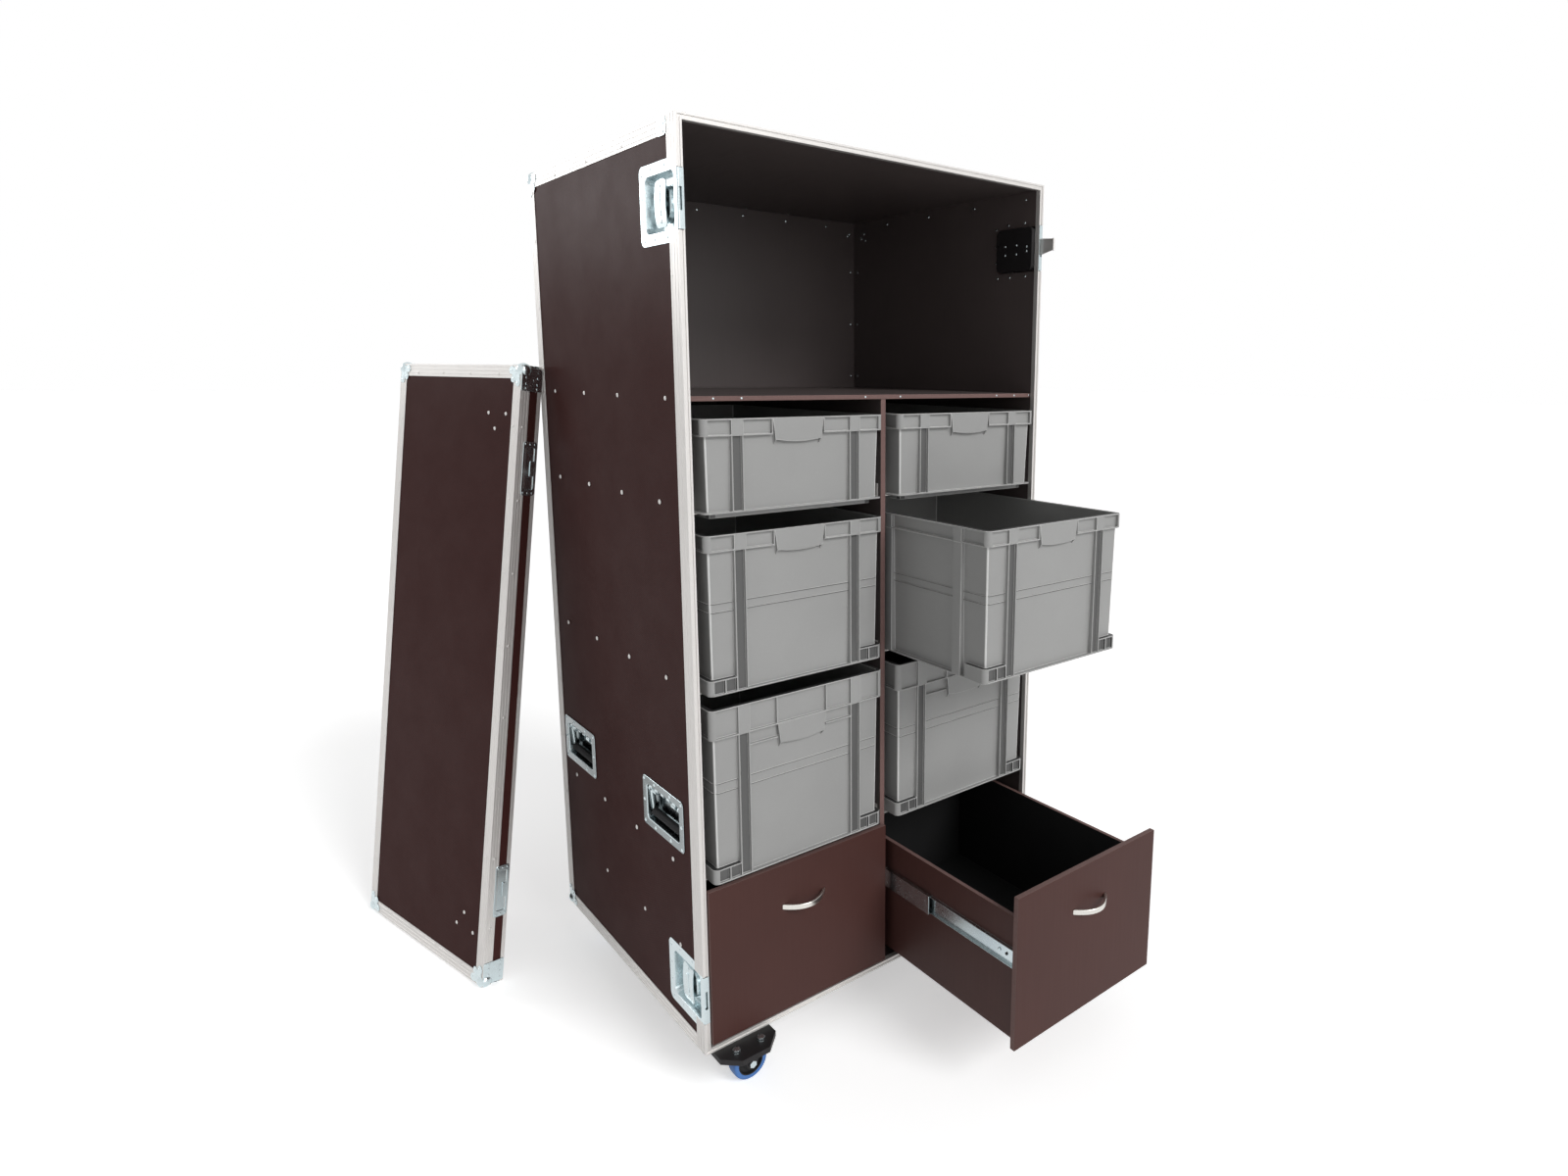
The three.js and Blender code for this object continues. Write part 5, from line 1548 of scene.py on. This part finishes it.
def make_wheel(end, side):
    """A wheel: a blue tread round a black core with a bore."""
    node = f"caster_wheel_{end}_{side}"
    low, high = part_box(node)
    centre = (low + high) / 2
    radius = (high.z - low.z) / 2
    half = (high.y - low.y) / 2
    place = along(Y, centre)
    tread = radius - 10 * MM
    bm = bmesh.new()
    profile = [(tread, -half + 1 * MM), (radius - 3.2 * MM, -half + 0.4 * MM),
               (radius - 1.2 * MM, -half + 2 * MM), (radius - 0.25 * MM, -half + 6 * MM),
               (radius, 0), (radius - 0.25 * MM, half - 6 * MM),
               (radius - 1.2 * MM, half - 2 * MM), (radius - 3.2 * MM, half - 0.4 * MM),
               (tread, half - 1 * MM), (tread, -half + 1 * MM)]
    add_turned(bm, profile, place, 48)
    shut(bm)
    piece(f"wheel_tread_{end}_{side}", bm, "tread", f"{end}_{side}_wheel", replaced=[node])
    bm = bmesh.new()
    hub = 12.5 * MM
    bore = 5.5 * MM
    web = 6 * MM
    profile = [(bore, -half), (hub, -half), (hub + 1 * MM, -half + 1 * MM),
               (hub + 2 * MM, -web), (tread - 3 * MM, -web - 1 * MM),
               (tread - 2 * MM, -half + 1.6 * MM), (tread + 0.1 * MM, -half + 1.2 * MM),
               (tread + 0.1 * MM, half - 1.2 * MM), (tread - 2 * MM, half - 1.6 * MM),
               (tread - 3 * MM, web + 1 * MM), (hub + 2 * MM, web),
               (hub + 1 * MM, half - 1 * MM), (hub, half), (bore, half), (bore, -half)]
    add_turned(bm, profile, place, 40)
    shut(bm)
    piece(f"wheel_core_{end}_{side}", bm, "rubber", f"{end}_{side}_wheel")


# The cover, in its own frame: x across, y from the outer face to the open side, z up

COVER_LEAN = math.radians(-7.8)
COVER_YAW = math.radians(-76.7)
COVER_SIDE_LEG = 22 * MM
COVER_RIM_LEG = 9 * MM
COVER_LATCHES = (0.155, 0.84)


def cover_frame():
    """The cover's own frame and its size, worked out from its packed tray."""
    turn = Matrix.Rotation(COVER_YAW, 4, "Z") @ Matrix.Rotation(COVER_LEAN, 4, "X")
    back = turn.inverted()
    points = [back @ vert.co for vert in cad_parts["cover_tray"].data.vertices]
    low = Vector([min(point[axis] for point in points) for axis in range(3)])
    high = Vector([max(point[axis] for point in points) for axis in range(3)])
    gap = Vector((SHEET, SHEET, SHEET))
    origin = turn @ (low - gap)
    size = high - low + 2 * gap
    size.y = high.y - low.y + SHEET + 3.3 * MM
    return Matrix.Translation(origin) @ turn, size


def make_cover():
    """The lift-off cover: film panel, grooved edging, corner plates, balls and latch halves."""
    place, size = cover_frame()
    inner = PLY + SHEET

    def choose(centre, normal):
        if normal.y < -0.5:
            return 0
        outside = (centre.x < SHEET * 2 or centre.x > size.x - SHEET * 2
                   or centre.z < SHEET * 2 or centre.z > size.z - SHEET * 2)
        return 0 if outside else 2 if normal.y > 0.5 and centre.y > inner + SHEET else 1

    dressed("cover_tray", ["film", "inside", "ply_edge"], "cover", choose, place=place)
    face = place @ axes((0, 0, 0), X, Z, Y)
    bm = bmesh.new()
    add_mitred(bm, angle_profile(EDGE_LEG, COVER_SIDE_LEG, SHEET - FIT), (0, 0),
               (size.x, size.z), 0, 1)
    shut(bm)
    soften(bm, 0.2 * MM)
    piece("cover_profile", bm, "aluminium", "cover", face, ["cover_edging"])
    bm = bmesh.new()
    far = INNER + FIT + 1.2 * MM
    ridge = 6 * MM
    rim = [(0, COVER_RIM_LEG), (0, 0), (ridge - 1.6 * MM, 0), (ridge - 1.2 * MM, -1.2 * MM),
           (ridge + 1.2 * MM, -1.2 * MM), (ridge + 1.6 * MM, 0), (far, 0), (far, 12 * MM),
           (far - 1.2 * MM, 12 * MM), (far - 1.2 * MM, 3 * MM), (SHEET - FIT, 3 * MM),
           (SHEET - FIT, COVER_RIM_LEG)]
    add_mitred(bm, rim, (0, 0), (size.x, size.z), size.y, -1)
    shut(bm)
    soften(bm, 0.2 * MM)
    piece("cover_rim", bm, "aluminium", "cover", face)
    make_cover_rivets(place, face, size)
    make_cover_corners(place, size)
    make_cover_latches(place, size)


def make_cover_rivets(place, face, size):
    """Rivets along the cover's edges, and larger ones near two of its corners."""
    line = 21 * MM
    heights = spread(137 * MM, size.z - 137 * MM, 158 * MM)
    bm = bmesh.new()
    for v in heights:
        for u in (line, size.x - line):
            add_rivet(bm, u, v)
    for u in spread(88 * MM, size.x - 94 * MM, 122 * MM):
        for v in (line, size.z - line):
            add_rivet(bm, u, v)
    for level, up in ((110 * MM, 1), (size.z - 110 * MM, -1)):
        for u, v in ((56, 0), (128, 0), (98, 35)):
            add_rivet(bm, size.x - u * MM, level + up * v * MM, SHEET, *LARGE_RIVET)
    piece("cover_rivets", bm, "aluminium", "cover", face)
    for label, x, right in (("left", 0, 1), ("right", size.x, -1)):
        rivet_piece(f"cover_side_rivets_{label}", "aluminium", "cover",
                    place @ axes((x, 0, 0), Y, Z, X * right), [(11 * MM, v) for v in heights])


def make_cover_corners(place, size):
    """Ball corners and riveted brackets at the cover's four corners."""
    for label, x, right in (("left", 0, 1), ("right", size.x, -1)):
        for level, z, up in (("bottom", 0, 1), ("top", size.z, -1)):
            bm = bmesh.new()
            add_ball_corner(bm)
            corner = place @ axes((x, 0, z), X * right, Y, Z * up)
            piece(f"cover_ball_{level}_{label}", bm, "zinc", "cover", corner)
            bm = bmesh.new()
            side = place @ axes((x, 0, z), Y, Z * up, X * right)
            wide = size.y - 1 * MM
            add_plate(bm, (wide / 2 + 0.5 * MM, 30 * MM), (wide, 52 * MM), 4 * MM,
                      -1.9 * MM, 0.4 * MM, 0.4 * MM)
            for v in (26, 40, 50):
                for u in (12, wide / MM - 10):
                    add_rivet(bm, u * MM, v * MM, -1.9 * MM, 2.9 * MM, 1.2 * MM)
            piece(f"cover_bracket_{level}_{label}", bm, "zinc", "cover", side)


def make_cover_latches(place, size):
    """Shallow zinc latch halves on the two long sides of the cover."""
    for label, x, right in (("left", 0, 1), ("right", size.x, -1)):
        side = place @ axes((x, 0, 0), Y, Z, X * right)
        for share in COVER_LATCHES:
            level = share * size.z
            bm = bmesh.new()
            wide = size.y - 3 * MM - 14 * MM
            centre = (15 * MM + wide / 2, level)
            outer = (wide, 122 * MM)
            rings = [
                (centre, (outer[0] - 1 * MM, outer[1] - 1 * MM), 6 * MM, 0.3 * MM),
                (centre, outer, 7 * MM, -0.4 * MM), (centre, outer, 7 * MM, -1.2 * MM),
                (centre, (outer[0] - 1 * MM, outer[1] - 1 * MM), 6.5 * MM, -1.6 * MM),
                (centre, (outer[0] - 10 * MM, outer[1] - 26 * MM), 4 * MM, -1.6 * MM),
                (centre, (outer[0] - 11 * MM, outer[1] - 27 * MM), 4 * MM, -1.2 * MM),
                (centre, (outer[0] - 12 * MM, outer[1] - 28 * MM), 3 * MM, 0.4 * MM),
            ]
            loft(bm, rings, first=True)
            shut(bm)
            number = "low" if share < 0.5 else "high"
            piece(f"cover_latch_{number}_{label}", bm, "zinc", "cover", side)
            bm = bmesh.new()
            for v in (-55, 55):
                for u in (-11, 0, 11):
                    add_rivet(bm, centre[0] + u * MM, level + v * MM, -1.6 * MM, 2.5 * MM, 1.1 * MM)
            add_plate(bm, (size.y - 10 * MM, level), (13 * MM, 34 * MM), 2 * MM,
                      -1.5 * MM, 0.2 * MM)
            piece(f"cover_latch_rivets_{number}_{label}", bm, "zinc", "cover", side)


def make_stage():
    """Pale floor, soft studio light and the camera of the photograph."""
    scene = bpy.context.scene
    scene.view_settings.view_transform = "Standard"
    bm = bmesh.new()
    bmesh.ops.create_grid(bm, x_segments=1, y_segments=1, size=60)
    bmesh.ops.translate(bm, vec=(0, 0, -0.5 * MM), verts=bm.verts)
    mesh = bpy.data.meshes.new("floor")
    bm.to_mesh(mesh)
    bm.free()
    floor = bpy.data.objects.new("floor", mesh)
    scene.collection.objects.link(floor)
    mesh.materials.append(floor_finish().material)
    make_world()
    add_sun("key", (0.8, -3.8, 3.6), 1.75, math.radians(24))
    add_sun("fill", (-0.3, -4.0, 1.2), 0.6, math.radians(40))
    add_softbox("side_softbox", (-2.5, 4.5, 2.9), 1.6, 50)
    make_camera()


FLOOR_GLOW = 0.48


def floor_finish():
    """A pale floor that the camera and polished metal see as white, with its shadows kept."""
    made = Finish("pale_floor", Base_Color=colours().floor, Roughness=0.9, Specular_IOR_Level=0.0)
    seen = made.add("ShaderNodeLightPath", {})
    glow = made.add("ShaderNodeEmission", {}, Color=(1, 1, 1),
                    Strength=(seen + seen.output(3)) * FLOOR_GLOW)
    made.end("Material Output",
             made.add("ShaderNodeAddShader", {}, Signal(made, made.shader.outputs[0]), glow))
    return made


def make_world():
    """Soft light from everywhere, and pure white behind the case and in what it mirrors."""
    world = bpy.data.worlds.new("studio")
    bpy.context.scene.world = world
    world.use_nodes = True
    nodes = Nodes(world.node_tree)
    plain = nodes.add("ShaderNodeBackground", {}, Color=(1, 1, 1), Strength=0.3)
    white = nodes.add("ShaderNodeBackground", {}, Color=(1, 1, 1), Strength=1)
    camera = nodes.add("ShaderNodeLightPath", {})
    seen = camera.math("MAXIMUM", camera, camera.output(3))
    through = seen.math("MAXIMUM", seen, camera.output(6))
    nodes.end("World Output", nodes.add("ShaderNodeMixShader", {}, through, plain, white))


def add_light(name, kind, place):
    """A lamp that points at the case, a metre above the floor."""
    lamp = bpy.data.lights.new(name, kind)
    obj = bpy.data.objects.new(name, lamp)
    obj.location = place
    obj.rotation_mode = "QUATERNION"
    obj.rotation_quaternion = (Z - Vector(place)).to_track_quat("-Z", "Y")
    bpy.context.scene.collection.objects.link(obj)
    return obj


def add_sun(name, place, strength, spread_angle):
    """A soft sun."""
    lamp = add_light(name, "SUN", place).data
    lamp.energy = strength
    lamp.angle = spread_angle


def add_softbox(name, place, size, power):
    """A square studio lamp that the camera doesn't see."""
    box = add_light(name, "AREA", place)
    box.data.size = size
    box.data.energy = power
    box.visible_camera = False


def make_camera():
    """The camera of the photograph, from its measured place and direction."""
    values = bpy.context.scene.road_case_view
    back = Vector((
        math.sin(values.azimuth) * math.cos(values.elevation),
        -math.cos(values.azimuth) * math.cos(values.elevation),
        math.sin(values.elevation),
    ))
    level_right = (-back).cross(Z).normalized()
    level_up = level_right.cross(-back)
    right = level_right * math.cos(values.roll) + level_up * math.sin(values.roll)
    up = level_up * math.cos(values.roll) - level_right * math.sin(values.roll)
    data = bpy.data.cameras.new("camera")
    data.sensor_fit = "HORIZONTAL"
    data.sensor_width = 36
    data.lens = values.lens
    data.shift_x = values.shift_x
    data.shift_y = values.shift_y
    data.clip_end = 200
    camera = bpy.data.objects.new("camera", data)
    camera.matrix_world = axes(values.place, right, up, back)
    bpy.context.scene.collection.objects.link(camera)
    bpy.context.scene.camera = camera


class ROADCASE_OT_panels(bpy.types.Operator):
    """Make the boards of the carcass with their films and cut edges"""

    bl_idname = "road_case.panels"
    bl_label = "Make the boards"

    def execute(self, context):
        make_panels()
        return {"FINISHED"}


class ROADCASE_OT_edging(bpy.types.Operator):
    """Make the closure frame, the edging, its corners and its rivets"""

    bl_idname = "road_case.edging"
    bl_label = "Make the edging"

    def execute(self, context):
        make_edging()
        make_ball_corners()
        make_braces()
        make_rivets()
        return {"FINISHED"}


class ROADCASE_OT_latches(bpy.types.Operator):
    """Make the recessed latches and their wings"""

    bl_idname = "road_case.latches"
    bl_label = "Make the latches"

    def execute(self, context):
        make_latch_dishes()
        make_latch_wings()
        return {"FINISHED"}


class ROADCASE_OT_handles(bpy.types.Operator):
    """Make the recessed handles with their sprung bails"""

    bl_idname = "road_case.handles"
    bl_label = "Make the handles"

    def execute(self, context):
        make_handles()
        return {"FINISHED"}


class ROADCASE_OT_bins(bpy.types.Operator):
    """Make the stacking bins and the runners that they slide on"""

    bl_idname = "road_case.bins"
    bl_label = "Make the bins"

    def execute(self, context):
        make_bins()
        make_runners()
        return {"FINISHED"}


class ROADCASE_OT_drawers(bpy.types.Operator):
    """Make the drawers and their telescopic slides"""

    bl_idname = "road_case.drawers"
    bl_label = "Make the drawers"

    def execute(self, context):
        make_drawers()
        make_slides()
        return {"FINISHED"}


class ROADCASE_OT_casters(bpy.types.Operator):
    """Make the swivel casters"""

    bl_idname = "road_case.casters"
    bl_label = "Make the casters"

    def execute(self, context):
        make_casters()
        return {"FINISHED"}


class ROADCASE_OT_cover(bpy.types.Operator):
    """Make the lift-off cover"""

    bl_idname = "road_case.cover"
    bl_label = "Make the cover"

    def execute(self, context):
        make_cover()
        return {"FINISHED"}


class ROADCASE_OT_stage(bpy.types.Operator):
    """Make the floor, the light and the camera"""

    bl_idname = "road_case.stage"
    bl_label = "Make the stage"

    def execute(self, context):
        make_stage()
        return {"FINISHED"}


OPERATORS = [
    ROADCASE_OT_panels, ROADCASE_OT_edging, ROADCASE_OT_latches,
    ROADCASE_OT_handles, ROADCASE_OT_bins, ROADCASE_OT_drawers,
    ROADCASE_OT_casters, ROADCASE_OT_cover, ROADCASE_OT_stage,
]


class ROADCASE_PT_panel(bpy.types.Panel):
    """The road case in the 3D view's sidebar."""

    bl_idname = "ROADCASE_PT_panel"
    bl_label = "Road case"
    bl_space_type = "VIEW_3D"
    bl_region_type = "UI"
    bl_category = "Road case"

    def draw(self, context):
        for operator in OPERATORS:
            self.layout.operator(operator.bl_idname)


GROUPS = {"road_case_sizes": CaseSizes, "road_case_colours": CaseColours,
          "road_case_view": CaseView}


def register():
    for group in GROUPS.values():
        bpy.utils.register_class(group)
    for name, group in GROUPS.items():
        setattr(bpy.types.Scene, name, PointerProperty(type=group))
    for operator in OPERATORS:
        bpy.utils.register_class(operator)
    bpy.utils.register_class(ROADCASE_PT_panel)


def unregister():
    bpy.utils.unregister_class(ROADCASE_PT_panel)
    for operator in reversed(OPERATORS):
        bpy.utils.unregister_class(operator)
    for name in GROUPS:
        delattr(bpy.types.Scene, name)
    for group in GROUPS.values():
        bpy.utils.unregister_class(group)


def main():
    """Makes every piece and the studio."""
    register()
    for operator in OPERATORS:
        group, call = operator.bl_idname.split(".")
        getattr(getattr(bpy.ops, group), call)()
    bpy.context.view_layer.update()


if __name__ == "__main__":
    main()
